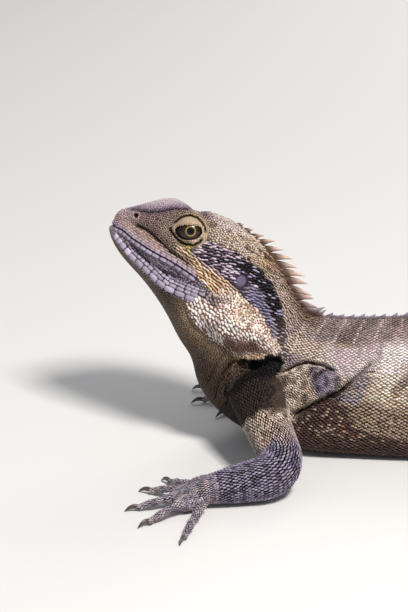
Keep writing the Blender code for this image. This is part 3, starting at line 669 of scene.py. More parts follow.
BLACK_OUTLINE = ((45.2, 14.3), (49.5, 16.8), (54, 16.8), (58.4, 16.0), (62.6, 14.4), (66.0, 12.2),
                 (68.6, 9.2), (71.8, 5.7), (75.2, 2.0), (76.3, 0.1), (74.3, -0.2), (71.1, 3.3),
                 (68.0, 6.1), (63.8, 8.5), (60.3, 9.9), (56.9, 11.0), (53.0, 11.6), (48.3, 12.1))
GREY_OUTLINE = ((50.3, 7.8), (51.3, 11.6), (53.9, 11.2), (57.5, 10.1), (61.4, 8.8), (64.9, 7.5), (68.5, 5.3),
                (71.3, 2.3), (70.4, 1.0), (66.4, 3.1), (62.8, 4.6), (59.0, 5.7), (55.6, 6.2), (52.5, 6.3))
FURROW = ((4, -2.6), (8, -3.0), (12, -3.5), (16, -3.9), (20, -4.1), (25, -4.0), (30, -3.6), (35, -3.2))
CREAM_OUTLINE = (*CREAM_TOP[:7], (50, 3.6), (43.5, 0.6), (38, 1.8), (33, 3.6), (27, 4.4), (23, 5.4),
                 (24, 8.4))
TEMPLE_OUTLINE = (*TEMPLE_TOP, *CREAM_TOP[::-1])
CHIN_END = ((38.5, -2.2), (40.8, -0.3), (44.6, 0.4), (48.5, 1.1), (51.5, 0.5), (50.3, -1.6), (47.0, -3.3),
            (43.4, -3.8), (40.3, -3.7))
JOWL_LARGE = ((38, 0.0), (44, -1.2), (50, -3.0), (56, -3.6), (62, -2.2), (68, -0.6), (75, -1.0))
EAR_RADIUS = 2.6
EAR_SHAPE = (1, 0.85)
BROW_NOTCH = 1.7

# Creases of the head with their depths and half widths.
CREASES = (
    (CANTHUS, 0.9, 0.55), (CHIN_END[:5], 0.8, 0.9), (UPPER_LID, 1.1, 0.42), (LOWER_LID, 1.1, 0.45),
    (LOREAL, 1.1, 0.6), (LABIAL_GROOVE, 0.6, 0.6), (FURROW, 1.0, 0.8), (GULAR_EDGE, 0.9, 1.0),
)


def lip_height(back):
    """Height of the mouth line at distances back from the snout."""
    line = next(heights for name, _, heights in HEAD_LINES if name == "lip")
    knots, values = zip(*line)
    return smooth(knots, values, np.clip(back, knots[0], knots[-1]))[:, 0]


def line_height(line, back):
    """Height of a line of the head at distances back from the snout, straight between its points."""
    return np.interp(back, *np.array(line).T)


def eye_distance(at):
    """How far places on the side of the head, as distance back and up, are from the middle of the eye."""
    return np.hypot(at[:, 0] - EYE_BACK, at[:, 1] - EYE_UP)


def ear_distance(at):
    """How far places on the side of the head are from the middle of the ear, less so upwards."""
    return np.linalg.norm((at - EAR) * EAR_SHAPE, axis=1)


def head_relief(places):
    """How far the skin of the head stands out or in, at each place, in millimetres."""
    at = places.side_points
    back, up = at.T
    beside = np.abs(places.out)
    on_side = ease((beside - 1.0) / 2.0)
    height = up - lip_height(back)
    mouth = ease((MOUTH_LENGTH + 5 - back) / 6) * (back > -3)
    relief = mouth * (
        -0.6 * fade(height, 0.26) + 0.30 * fade(height - 1.15, 0.6) + 0.28 * fade(height + 1.1, 0.55)
    )
    for line, depth, width in CREASES:
        gap, share = segment_distance(at, line)
        relief -= on_side * depth * off_ends(share, 0.12) * fade(gap, width)
    for line, width, rise in ((JOWL_RIDGE, 1.6, 0.2), (FLAP_EDGE, 0.8, 0.3)):
        gap, share = segment_distance(at, line)
        relief += on_side * 0.9 * fade(gap, width) * ease(share / rise)
    gap, _ = segment_distance(at, CHIN_ROW)
    relief += on_side * 0.35 * fade(gap, 1.1)
    relief -= BROW_NOTCH * fade(back - 22.5, 3.2) * ease((up - 20.5) / 1.5) * ease((13 - beside) / 3)
    relief -= 1.1 * fade(np.hypot(back + 1.6, (up - 0.6) / 1.3), 2.4)
    gap = np.linalg.norm(at - NOSTRIL, axis=1)
    relief += on_side * (0.35 * fade(gap - 1.15, 0.4) - 1.5 * ease((0.95 - gap) / 0.5))
    gap = ear_distance(at)
    rim, hollow = fade(gap - EAR_RADIUS - 0.6, 0.6), ease((EAR_RADIUS + 0.2 - gap) / 0.8)
    relief += on_side * (0.35 * rim - 0.9 * hollow)
    return relief


# Areas on a side view from a little above: the loose skin over the shoulder, the chest under the
# throat, painted dark as shade, slate, dark, dotted and pale areas of shoulder and flank, and the
# pocket under the jowl, painted near black as its shadow.
SLANT = math.radians(20)
TRIANGLE = ((-69.5, 23.3), (-65.9, 25.1), (-63, 26.5), (-60.4, 27.6), (-57.5, 28.4), (-54.9, 27.8),
            (-52.4, 27.5), (-49.5, 26.2), (-46, 24.0), (-43.4, 20), (-45.9, 17.9), (-48.8, 16.7),
            (-51.7, 14.9), (-54.6, 13.5), (-57.5, 12.0), (-60.4, 10.2), (-64, 8.3), (-67.2, 8.1),
            (-70.1, 9.2), (-71.9, 10.9), (-73.6, 12.3), (-72.5, 15.0), (-69.4, 18.1), (-71.5, 21.0))
SHADED_CHEST = ((-69.5, 23.3), (-74.4, 22.4), (-78.8, 22.1), (-82.4, 19.1), (-86, 15.2), (-90, 11), (-100, 4),
         (-92, -16), (-79, -16), (-81, -2.5), (-82.3, 3.8), (-80.2, 7.5), (-77, 9.7), (-73.6, 12.3),
         (-72.5, 15), (-69.4, 18.1), (-71.5, 21.0))
SLATE_SHOULDER = ((-57.6, 27.5), (-46.3, 25.6), (-46.5, 19.3), (-52.0, 14.6), (-55.5, 17.8))
SLATE_FLANK = ((-47.4, 15.2), (-43.3, 19.6), (-38.5, 23.0), (-33.3, 23.7), (-37.0, 17.8), (-38.9, 12.2),
               (-44.8, 14.1))
DARK_FLANK = ((-60.0, 10.8), (-54.4, 14.1), (-48.5, 15.9), (-46.1, 14.1), (-43.3, 10.4), (-41.5, 5.9),
              (-37.8, 3.4), (-32.2, 1.5), (-20.0, -0.7), (-13.0, -1.1), (-13.0, -16), (-62.0, -16),
              (-64.8, 4.8))
DOTTED_FLANK = ((-44.8, 12.2), (-38.9, 12.2), (-34.5, 14.1), (-27.8, 10.4), (-13, 11.1), (-13, -1.1),
                (-20.0, -0.4), (-37.0, 3.4), (-41.5, 5.9))
POCKET_SHADOW = ((-78, 29.2), (-74.3, 29.6), (-70.7, 31.4), (-67.7, 31.0), (-66.2, 28.4), (-67.3, 25.1),
          (-69.5, 23.3), (-74.4, 22.4), (-78.8, 22.1), (-82.4, 19.1), (-86, 15.2), (-88.8, 11.1),
          (-88.1, 14.3), (-85.3, 19.0), (-82.4, 22.7), (-79.5, 25.6))
PALE_FLANK = (-26.5, 20.5)
PALE_FLANK_RADIUS = 6.5


# Folds of the neck and shoulder on the left side and, mirrored, on the right: a line of points on
# the skin, the depth of the fold and its half width.
FOLDS = (
    (((-69, -18, 31), (-66, -18, 33), (-60.5, -17, 35.6), (-57.5, -17, 36.4), (-52.4, -17.8, 35.7),
      (-49.5, -18.7, 34.7), (-46, -20, 33)), 2.7, 0.9),
    (((-55.3, -20.7, 30.4), (-54.2, -19.9, 32.1), (-52.4, -19.2, 33.7), (-50.2, -19, 34.4)), 2.0, 0.7),
    (((-58, -20.1, 30.9), (-56.1, -19.1, 33.3), (-54.6, -18.4, 34.8)), 1.4, 0.6),
    (((-32, -16.8, 38.4), (-35, -18.6, 36.2), (-38, -20.2, 33.7), (-40.4, -21.2, 31.8), (-43.4, -22.2, 29.4),
      (-46, -22.9, 27.4), (-51.7, -23.4, 24.4), (-57.5, -23.4, 21.3), (-62, -23, 18.4), (-65.5, -26, 15)),
     2.6, 0.95),
    (((-38, -20.3, 33.5), (-35, -20.2, 34.1), (-32.8, -20.5, 33.9)), 1.1, 0.55),
    (((-44.1, -22.5, 28.8), (-46.6, -23.3, 26.3), (-48.5, -23.8, 24.2)), 1.2, 0.8),
    (((-69, -20, 31), (-71.5, -25.8, 31.7), (-69.6, -28.2, 29.7), (-72.5, -34.7, 28.6), (-73.5, -38.2, 27),
      (-71.9, -39.9, 26.1), (-70.1, -42, 25.1), (-68, -43, 23.6), (-64, -42, 20)), 1.1, 0.8),
    (((-66.5, -24, 31.5), (-63, -26, 30), (-60, -27.5, 28)), 0.7, 0.6),
    (((-68, -30, 29.5), (-64.5, -31, 28.5), (-61, -33, 26)), 0.6, 0.6),
    (((-84, -17.5, 36.6), (-79, -18.5, 36.2), (-75, -19, 37.2), (-71, -17.8, 38), (-68, -16.6, 37.3),
      (-66, -16.8, 35)), 3.0, 1.5),
    (((-74.5, -17.8, 36), (-78.7, -21.3, 34.9), (-82.4, -22.7, 32.4), (-85.3, -22.2, 28.3),
      (-88.1, -15.2, 20.7)), 1.4, 1.0),
    (((-78, -20, 37.5), (-82.4, -18.4, 35.4), (-85.3, -19.3, 31.8), (-87.4, -17.3, 26.3), (-88, -11, 17)),
     1.4, 0.8),
    (((-83, -17.7, 38), (-86, -17.9, 35.9), (-88.9, -17.3, 31), (-91.1, -15.2, 24.6), (-91, -9, 16)),
     1.3, 0.8),
    (((-87, -17.6, 41), (-90, -17, 37), (-92.5, -16.4, 32), (-94.5, -12, 25)), 0.9, 0.7),
)


def slanted(points):
    """Places on a side view taken from a little above, the same for both sides of the animal."""
    up = points[:, 2] * math.cos(SLANT) - np.abs(points[:, 1]) * math.sin(SLANT)
    return np.stack([points[:, 0], up], axis=1)


def folds_at(points):
    """For each fold: how far each point is from it, how near to its ends, its depth and its width."""
    mirrored = points * (1, -1, 1)
    mirrored[:, 1] = np.abs(mirrored[:, 1])
    for line, depth, width in FOLDS:
        gap, share = segment_distance(mirrored, np.array(line) * (1, -1, 1))
        yield gap, off_ends(share, 0.15), depth, width


def body_relief(places):
    """Folds of the skin behind the head, and the shoulder between two of them."""
    relief = np.zeros(len(places.points))
    near = places.points[:, 0] < -25
    points = places.points[near]
    shoulder = inside_distance(slanted(points), TRIANGLE)
    relief[near] += 0.9 * ease(shoulder / 3.0)
    for gap, ends, depth, width in folds_at(points):
        relief[near] -= depth * ends * fade(gap, width)
    return relief


def new_object(name, data):
    """An object of that mesh, camera or lamp in the scene."""
    obj = bpy.data.objects.new(name, data)
    bpy.context.scene.collection.objects.link(obj)
    return obj


def mesh_of(name, points, faces):
    """A mesh in metres from arrays of points in millimetres and of faces of one number of corners."""
    points, faces = np.asarray(points, float), np.asarray(faces)
    mesh = bpy.data.meshes.new(name)
    mesh.vertices.add(len(points))
    mesh.vertices.foreach_set("co", (points * MM).astype(np.float32).ravel())
    mesh.loops.add(faces.size)
    mesh.loops.foreach_set("vertex_index", faces.astype(np.int32).ravel())
    mesh.polygons.add(len(faces))
    mesh.polygons.foreach_set("loop_start", np.arange(0, faces.size, faces.shape[1], dtype=np.int32))
    mesh.update(calc_edges=True)
    mesh.validate()
    return mesh


def coordinates(mesh):
    """The points of a mesh in millimetres."""
    flat = np.empty(len(mesh.vertices) * 3, np.float32)
    mesh.vertices.foreach_get("co", flat)
    return flat.reshape(-1, 3).astype(float) / MM


def normals(mesh):
    """The normals at the points of a mesh."""
    flat = np.empty(len(mesh.vertices) * 3, np.float32)
    mesh.vertex_normals.foreach_get("vector", flat)
    return flat.reshape(-1, 3).astype(float)


def move_to(mesh, points):
    """Puts the points of a mesh at new places."""
    mesh.vertices.foreach_set("co", (points * MM).astype(np.float32).ravel())
    mesh.update()


def put_colours(mesh, colours):
    """Stores one colour for each point, for the materials to read."""
    layer = mesh.color_attributes.new("paint", "FLOAT_COLOR", "POINT")
    rgba = np.ones((len(colours), 4), np.float32)
    rgba[:, :3] = np.clip(colours, 0, 1)
    layer.data.foreach_set("color", rgba.ravel())


def put_uv(mesh, corner_uv):
    """Stores the unwrap that the colours are baked on."""
    layer = mesh.uv_layers.new(name="OFBake")
    layer.data.foreach_set("uv", np.asarray(corner_uv, np.float32).ravel())


def smooth_shading(mesh):
    """Shades every face of a mesh smooth."""
    mesh.polygons.foreach_set("use_smooth", np.ones(len(mesh.polygons), bool))


def evaluated(obj):
    """Replaces an object's mesh by what its modifiers make of it."""
    bpy.context.view_layer.update()
    graph = bpy.context.evaluated_depsgraph_get()
    made = bpy.data.meshes.new_from_object(obj.evaluated_get(graph))
    obj.modifiers.clear()
    obj.data = made


def tube_mesh_parts(tubes):
    """Points and faces of all the tubes with their ends closed, as one set of triangles."""
    points, faces, start = [], [], 0
    for tube in tubes:
        count, around = tube.grid.shape[:2]
        row, column = np.divmod(np.arange((count - 1) * around), around)
        here, beside = start + row * around + column, start + row * around + (column + 1) % around
        faces.append(np.stack([here, beside, beside + around], axis=1))
        faces.append(np.stack([here, beside + around, here + around], axis=1))
        points.append(tube.grid.reshape(-1, 3))
        hub = start + count * around
        for ring in (0, count - 1):
            points.append(tube.grid[ring].mean(axis=0)[None])
            rim = start + ring * around + np.arange(around)
            after = start + ring * around + (np.arange(around) + 1) % around
            hubs = np.full(around, hub)
            faces.append(np.stack([rim, hubs, after] if ring == 0 else [rim, after, hubs], axis=1))
            hub += 1
        start = hub
    return np.concatenate(points), np.concatenate(faces)


def ball_parts(middle, radius, segments=48, rings=32):
    """Points and faces of a ball."""
    shape = bmesh.new()
    bmesh.ops.create_uvsphere(shape, u_segments=segments, v_segments=rings, radius=radius)
    bmesh.ops.triangulate(shape, faces=shape.faces)
    shape.verts.index_update()
    points = np.array([vertex.co for vertex in shape.verts]) + middle
    faces = np.array([[vertex.index for vertex in face.verts] for face in shape.faces])
    shape.free()
    return points, faces


def outward(points, faces):
    """The faces turned so that the closed surface has a positive volume."""
    a, b, c = (points[faces[:, i]] for i in range(3))
    volume = np.einsum("ij,ij->i", a, np.cross(b, c)).sum()
    return faces if volume > 0 else faces[:, ::-1]


def joined(parts):
    """Several closed surfaces, each turned outwards, as one set of points and faces."""
    points, faces, start = [], [], 0
    for part_points, part_faces in parts:
        points.append(part_points)
        faces.append(outward(part_points, part_faces) + start)
        start += len(part_points)
    return np.concatenate(points), np.concatenate(faces)


def eye_middle(side):
    """The middle of the eyeball on one side."""
    return head_point(EYE_BACK, side * EYE_OUT, EYE_UP)


def eye_way(side):
    """The direction in which the eye on one side looks."""
    return unit(head_point(EYE_BACK, side * FAR_OUT, EYE_UP) - eye_middle(side))


def before_eye(points, side, reach):
    """Which points lie within reach of the middle of an eye, on the side to which it looks."""
    offset = points - eye_middle(side)
    return (np.linalg.norm(offset, axis=1) < reach) & (offset @ eye_way(side) > 0)


def build_skin(surface, tubes):
    """The skin as one closed surface: tubes and lids run together, then folds and features."""
    parts = [tube_mesh_parts([tube]) for tube in tubes]
    parts += [ball_parts(eye_middle(side), LID_RADIUS) for side in SIDES.values()]
    skin = new_object("skin", mesh_of("skin", *joined(parts)))
    remesh = skin.modifiers.new("remesh", "REMESH")
    remesh.mode = "VOXEL"
    remesh.voxel_size = SKIN_CELL * MM
    soften = skin.modifiers.new("soften", "SMOOTH")
    soften.factor, soften.iterations = 0.5, 3
    evaluated(skin)
    halve_cells(skin)
    shape_skin(skin, surface)
    return skin


def halve_cells(skin):
    """Halves the mesh cells of the head, neck and shoulders."""
    shape = bmesh.new()
    shape.from_mesh(skin.data)
    edges = set()
    for face in shape.faces:
        x, y, z = np.array(face.calc_center_median()) / MM
        if x < FINE_SKIN_END and z > FINE_SKIN_FLOOR and abs(y) < FINE_SKIN_SIDE:
            edges.update(face.edges)
    bmesh.ops.subdivide_edges(shape, edges=sorted(edges, key=lambda e: e.index), cuts=1, use_grid_fill=True)
    shape.to_mesh(skin.data)
    shape.free()


def shape_skin(skin, surface):
    """Draws the skin in by its inset, presses in its folds and keeps it above the floor."""
    mesh = skin.data
    points = coordinates(mesh)
    places = surface.places(points)
    head = places.on_body & (places.back < 78) & (places.along < surface.body.at("chest"))
    relief = body_relief(places)
    relief[head] += head_relief(places)[head]
    points = points + normals(mesh) * (relief - SKIN_INSET)[:, None]
    for side in SIDES.values():
        middle = eye_middle(side)
        near = before_eye(points, side, LID_INSIDE)
        points[near] = middle + unit(points[near] - middle) * LID_INSIDE
    points[:, 2] = np.maximum(points[:, 2], SKIN_CLEARANCE)
    move_to(mesh, points)


def srgb(*colour):
    """A colour given as 0 to 255 in sRGB, as linear values."""
    share = np.array(colour, float) / 255
    return np.where(share <= 0.04045, share / 12.92, ((share + 0.055) / 1.055) ** 2.4)


def mixed(under, over, share):
    """One colour laid over another, each a colour or an array of them."""
    share = np.clip(share, 0, 1)[:, None]
    return under * (1 - share) + over * share


# How much of a scale's colour the skin beside it keeps where no colour of its own is given: the
# skin between the scales is painted darker, partly as its own darker colour and partly as painted
# shade between the scales.
GAP_SHADE = 0.2


class Coat:
    """Colours of the scales and of the skin between them, with its painted shade, laid over one another."""

    def __init__(self, count, top):
        self.tops = np.tile(top, (count, 1)).astype(float)
        self.gaps = self.tops * GAP_SHADE

    def lay(self, share, top, gap=None):
        """Lays one colour over the scales and one, or a dark shade of the first, over the skin."""
        gap = top * GAP_SHADE if gap is None else gap
        self.tops = mixed(self.tops, top, share)
        self.gaps = mixed(self.gaps, gap, share)


def wavering(at, points, size, seed):
    """Places on a side view shifted a little to and fro, so that outlines on them run unevenly."""
    return at + 0.5 * np.stack([ripples(points, size, seed), ripples(points, size, seed + 1)], axis=1)


def paint_head(places):
    """Markings of the head and upper neck, with painted light and shade on the hump, in its creases and under
    the jowl flap.
    """
    coat = Coat(len(places.points), srgb(136, 115, 112))
    coat.gaps[:] = srgb(66, 50, 48)
    patchy = ripples(places.points, 5.0, 4)
    paint_crown(places, coat, patchy)
    paint_jaws(places, coat)
    paint_cheek(places, coat, patchy)
    paint_eye_region(places, coat)
    return coat


def paint_crown(places, coat, patchy):
    """Snout, crown and nape."""
    back, up = places.side_points.T
    fine = ripples(places.points, 1.6, 3)
    coat.lay(ease((back - 10) / 10) * 0.7, srgb(156, 136, 114), srgb(58, 46, 40))
    coat.lay(ease((back - 27) / 7) * ease((up - 10) / 4), srgb(176, 156, 132), srgb(78, 60, 48))
    coat.lay(ease((back - 30) / 8) * ease((patchy + 0.1) / 0.5) * 0.6, srgb(190, 154, 106), srgb(70, 48, 32))
    coat.lay(ease((back - 28) / 6) * ease((fine * 0.8 + patchy * 0.7 - 0.5) / 0.25) * 0.9, srgb(70, 46, 36))
    # The hump above the canthus: painted light on its top and painted shade down towards the crease.
    above = up - line_height(CANTHUS, back)
    shade = ease(1.0 - above / 4.6)
    coat.lay(ease(above / 0.8 + 0.4) * (back < 25.5) * (back > -6),
             mixed(srgb(194, 180, 184), srgb(140, 119, 134), shade),
             mixed(srgb(146, 130, 138), srgb(80, 64, 78), shade))
    coat.lay(fade(back - 33, 8) * ease((up - 21) / 2) * 0.9, srgb(168, 152, 156), srgb(84, 70, 72))
    ridge = ease((2.6 - places.down) / 1.6) * ease((back - 28) / 5) * ease((57 - places.along) / 8)
    coat.lay(ridge * ease((0.5 - fine) / 0.3) * 0.8, srgb(206, 190, 180), srgb(110, 92, 84))
    coat.lay(ease((places.along - 57) / 9) * ease((up - 4) / 4) * 0.7, srgb(206, 184, 174), srgb(86, 68, 60))
    coat.lay(ease((7 - back) / 6) * ease((11 - up) / 4) * 0.8, srgb(196, 174, 182), srgb(128, 104, 112))


def paint_jaws(places, coat):
    """Lips, chin and throat."""
    at = places.side_points
    back, up = at.T
    height = up - lip_height(back)
    pinker = ease((height - 0.6) / 3.0)
    coat.lay((back < 40) * ease((0.6 - (up - line_height(LOREAL, back))) / 1.0) * ease(height / 0.3 + 0.5),
             mixed(srgb(176, 160, 182), srgb(178, 150, 142), pinker),
             mixed(srgb(98, 84, 100), srgb(112, 88, 76), pinker))
    lower = ease(-height / 0.3 + 0.4)
    coat.lay(lower * (back < 60), srgb(128, 116, 130), srgb(58, 48, 56))
    coat.lay(lower * ease((13 - back) / 8) * 0.9, srgb(170, 152, 160), srgb(104, 88, 94))
    # Painted shade in the furrow between the lower lip and the chin plates.
    furrow, _ = segment_distance(at, FURROW)
    coat.lay(lower * fade(furrow, 1.1) * ease((back - 5) / 8), srgb(70, 60, 70), srgb(24, 19, 24))
    chin = line_height(CHIN_ROW, back)
    coat.lay(lower * ease((chin + 2.0 - up) / 1.0) * ease((back - 4) / 6) * (back < 60),
             srgb(178, 166, 184), srgb(50, 41, 48))
    throat = mixed(srgb(108, 88, 74), srgb(80, 62, 50), ease((back - 12) / 26))
    throat = mixed(throat, srgb(76, 58, 48), ease(ripples(places.points, 1.6, 6) / 0.5) * 0.35)
    gular, _ = segment_distance(at, GULAR_EDGE)
    throat = mixed(throat, srgb(164, 140, 114), fade(gular, 5.0) * ease((back - 30) / 12) * 0.6)
    coat.lay(lower * ease((chin - up - 0.6) / 1.4), throat, throat * 0.42)


def paint_cheek(places, coat, patchy):
    """Cream band, jowl, temple and its grey and black bands, and the ear."""
    at = places.side_points
    back, up = at.T
    wavy = wavering(at, places.points, 3.0, 11)

    def area(outline, edge, start=0.5):
        return ease(inside_distance(wavy, outline) / edge + start)

    cream = area(CREAM_OUTLINE, 0.8)
    streak = np.sin(2 * math.pi * (line_height(CREAM_TOP, back) - up + 0.3 * patchy) / 2.3)
    coat.lay(cream, srgb(226, 202, 176), srgb(84, 58, 40))
    coat.lay(cream * ease((streak + 0.1) / 0.6) * 0.8, srgb(184, 140, 90), srgb(64, 42, 27))
    jowl = area(JOWL_OUTLINE, 1.2)
    coat.lay(jowl, srgb(242, 228, 221), srgb(118, 90, 74))
    jowl = jowl * ease((patchy - 0.1) / 0.4) * ease((up + 4) / 4)
    coat.lay(jowl * 0.6, srgb(214, 190, 168), srgb(136, 106, 86))
    # The lower face of the jowl flap: brown skin darkened by painted shade.
    coat.lay(area(FLAP_OUTLINE, 2.6, 0.25), srgb(92, 69, 57), srgb(56, 40, 33))
    gap, share = segment_distance(at, FLAP_EDGE)
    coat.lay(fade(gap, 0.7) * ease(share / 0.2) * 0.8, srgb(214, 184, 156), srgb(170, 136, 108))
    coat.lay(area(CHIN_END, 1.0, 0.4) * 0.85, srgb(136, 120, 124), srgb(22, 16, 18))
    coat.lay(area(TEMPLE_OUTLINE, 0.7), srgb(178, 158, 176), srgb(18, 14, 20))
    coat.lay(area(GREY_OUTLINE, 0.9, 0.6), srgb(134, 126, 150), srgb(50, 46, 60))
    coat.lay(area(BLACK_OUTLINE, 0.8, 0.6), srgb(36, 30, 38), srgb(7, 6, 8))
    ear = ear_distance(at)
    coat.lay(ease((EAR_RADIUS + 0.6 - ear) / 0.7), srgb(60, 52, 64), srgb(48, 42, 54))
    coat.lay(ease((EAR_RADIUS - 0.3 - ear) / 1.0), srgb(104, 94, 116), srgb(98, 88, 110))


def paint_eye_region(places, coat):
    """Lids, nostril, and painted shade in the creases of the head, along the mouth line and in the nostril.
    """
    at = places.side_points
    back, up = at.T
    lids = ease((7.0 - eye_distance(at)) / 1.0)
    coat.lay(lids * 0.9, srgb(194, 172, 144), srgb(168, 146, 120))
    coat.lay(lids * ease((EYE_UP - 2.4 - up) / 1.5) * 0.85, srgb(120, 100, 78), srgb(70, 55, 42))
    coat.lay(fade(np.hypot(back - 27.6, up - 8.8), 1.3) * 0.8, srgb(206, 184, 84))
    # Painted shade in the crease of the canthus.
    canthus, share = segment_distance(at, CANTHUS)
    coat.lay(fade(canthus, 0.8) * 0.85 * ease(share / 0.1), srgb(98, 80, 94), srgb(46, 35, 46))
    # Painted shade in the creases of the lids, the loreal fold and the labial groove.
    for line, width, strength in (
        (UPPER_LID, 0.42, 1.0), (LOWER_LID, 0.5, 1.0), (LOREAL, 0.7, 1.0), (LABIAL_GROOVE, 0.4, 0.7),
    ):
        gap, share = segment_distance(at, line)
        strength = strength * ease(1.5 - gap / width) * ease(share / 0.1) * ease((1 - share) / 0.1)
        coat.lay(strength, srgb(26, 19, 20), srgb(9, 7, 7))
    shaded = fade(up - line_height(LOREAL, back) - 1.4, 1.4) * ease((back - 7) / 4) * ease((34 - back) / 4)
    coat.lay(shaded * 0.6, srgb(96, 78, 72), srgb(38, 29, 28))
    # Painted shade in the groove of the mouth line.
    mouth = fade(up - lip_height(back), 0.26) * ease((MOUTH_LENGTH + 4 - back) / 4) * (back > -2)
    coat.lay(mouth * 0.95, srgb(40, 30, 34), srgb(14, 10, 12))
    nostril = np.linalg.norm(at - NOSTRIL, axis=1)
    coat.lay(fade(nostril - 1.35, 0.4) * 0.7, srgb(196, 172, 166), srgb(150, 126, 120))
    # Painted shade in the nostril's hole.
    coat.lay(ease((1.05 - nostril) / 0.3), srgb(14, 10, 12), srgb(10, 7, 9))


def paint_shoulder(places, coat):
    """Folds of the neck and shoulder, the loose skin between them, the chest and the flank behind, with
    painted shade in the folds, on the chest and the arm's root, and in the pocket under the jowl.
    """
    points = places.points
    near = (points[:, 0] < -12) & (np.abs(points[:, 1]) < 48)
    near &= places.on_body | (places.share < 0.5)
    at = slanted(points)
    patchy, fine = ripples(points, 4.0, 41), ripples(points, 1.4, 44)
    wavy = wavering(at, points, 2.5, 42)

    def area(outline, edge):
        return near * ease(inside_distance(wavy, outline) / edge + 0.5)

    behind = near & places.on_body & (places.along > 80)
    coat.lay(behind * area(DOTTED_FLANK, 2.5), srgb(150, 128, 110), srgb(22, 16, 15))
    coat.lay(behind * area(DARK_FLANK, 3.0), srgb(84, 62, 56), srgb(15, 9, 9))
    coat.lay(behind * area(SLATE_FLANK, 4.0) * 0.8, srgb(136, 126, 140), srgb(30, 25, 30))
    offset = wavy - PALE_FLANK
    pale = fade(np.hypot(offset[:, 0] / 1.2, offset[:, 1]), PALE_FLANK_RADIUS) * ease((patchy + 0.6) / 0.5)
    coat.lay(behind * pale * 0.85, srgb(244, 230, 214), srgb(112, 94, 82))
    shoulder = area(TRIANGLE, 0.8)
    tan = mixed(srgb(214, 192, 176), srgb(172, 150, 134), ease(patchy))
    tan = mixed(tan, srgb(92, 74, 64), ease((fine - 0.3) / 0.3) * 0.7)
    tan = mixed(tan, srgb(92, 76, 68), ease((ripples(points, 2.4, 45) - 0.15) / 0.3) * 0.65)
    coat.lay(shoulder, tan * 1.2, tan * 0.13)
    slate = mixed(srgb(146, 134, 150), srgb(82, 74, 88), ease((fine + 0.1) / 0.4))
    coat.lay(shoulder * area(SLATE_SHOULDER, 3.0) * 0.9, slate, slate * 0.2)
    # The root of the arm in front of the loose skin: painted shade under the jowl and throat.
    root = near & ~places.on_body & (at[:, 0] < -66)
    coat.lay(root * ease((at[:, 1] - 10) / 3), srgb(78, 62, 50), srgb(24, 18, 15))
    # Painted shade over the chest under the throat.
    low_neck = near & (~places.on_body | (places.along > 62))
    coat.lay(low_neck * area(SHADED_CHEST, 1.2), srgb(56, 44, 38), srgb(15, 11, 10))
    # Painted shadow in the pocket under the jowl flap.
    coat.lay(area(POCKET_SHADOW, 1.0), srgb(9, 7, 8), srgb(4, 3, 3))
    # Painted shade in each fold.
    for gap, ends, depth, width in folds_at(points[near]):
        strength = np.zeros(len(points))
        strength[near] = ends * fade(gap, 0.55 * width) * min(1, 0.6 + 0.25 * depth)
        coat.lay(strength, srgb(26, 20, 20), srgb(7, 5, 5))


def paint_trunk(places):
    """Back, flanks and belly of the neck, trunk and tail."""
    points = places.points
    down = places.down / (LINES / 2)
    along = places.along
    fine, patchy, broad = ripples(points, 1.8, 21), ripples(points, 6.0, 22), ripples(points, 14.0, 23)
    coat = Coat(len(points), srgb(158, 138, 134))
    coat.gaps *= 1.6
    coat.lay(ease(patchy + 0.3) * 0.8, srgb(120, 102, 94), srgb(30, 24, 24))
    middle = mixed(srgb(206, 188, 188), srgb(182, 162, 140), ease(patchy))
    coat.lay(ease((down - 0.16 + 0.02 * broad) / 0.05), middle, middle * 0.42)
    pale = ease((np.cos(2 * math.pi * (along - 126) / 33.0) - 0.3 + 0.4 * patchy) / 0.3)
    pale = pale * ease((down - 0.18) / 0.04) * ease((0.34 - down) / 0.05) * ease((along - 110) / 6)
    coat.lay(pale, srgb(246, 234, 230), srgb(160, 142, 138))
    olive = mixed(srgb(190, 172, 148), srgb(146, 130, 124), ease(patchy + 0.1))
    coat.lay(ease((down - 0.31 + 0.03 * broad) / 0.04), olive, olive * 0.16)
    lower = 0.36 + 0.06 * ease((along - 102) / 18)
    coat.lay(ease((down - lower + 0.03 * broad) / 0.06), srgb(168, 146, 126), srgb(26, 19, 18))
    coat.lay(ease((down - 0.52 + 0.03 * patchy) / 0.08), srgb(84, 58, 50), srgb(18, 11, 10))
    coat.lay(ease((down - 0.64) / 0.1), srgb(48, 27, 22), srgb(16, 8, 7))
    coat.lay(fade(down - 0.72, 0.03) * 0.8, srgb(112, 58, 36), srgb(60, 28, 16))
    band = np.sin(2 * math.pi * (along + 2 * patchy) / 27.0)
    bars = ease((band - 0.2) / 0.5) * ease((along - 145) / 25) * ease((0.6 - down) / 0.2)
    coat.lay(bars * 0.75, srgb(70, 56, 50), srgb(18, 14, 13))
    tail = places.surface.body.at("tail 0")
    tail_top = mixed(srgb(140, 120, 104), srgb(186, 160, 128), ease(down * 1.6 - 0.4))
    on_tail = ease((along - tail + 30) / 60)
    coat.lay(on_tail, tail_top)
    ring = np.sin(2 * math.pi * (along + 1.5 * patchy) / 24.0)
    coat.lay(on_tail * ease((ring + 0.1) / 0.6) * 0.85, srgb(60, 48, 44), srgb(16, 12, 12))
    paint_neck(places, coat, down, fine, patchy)
    return coat


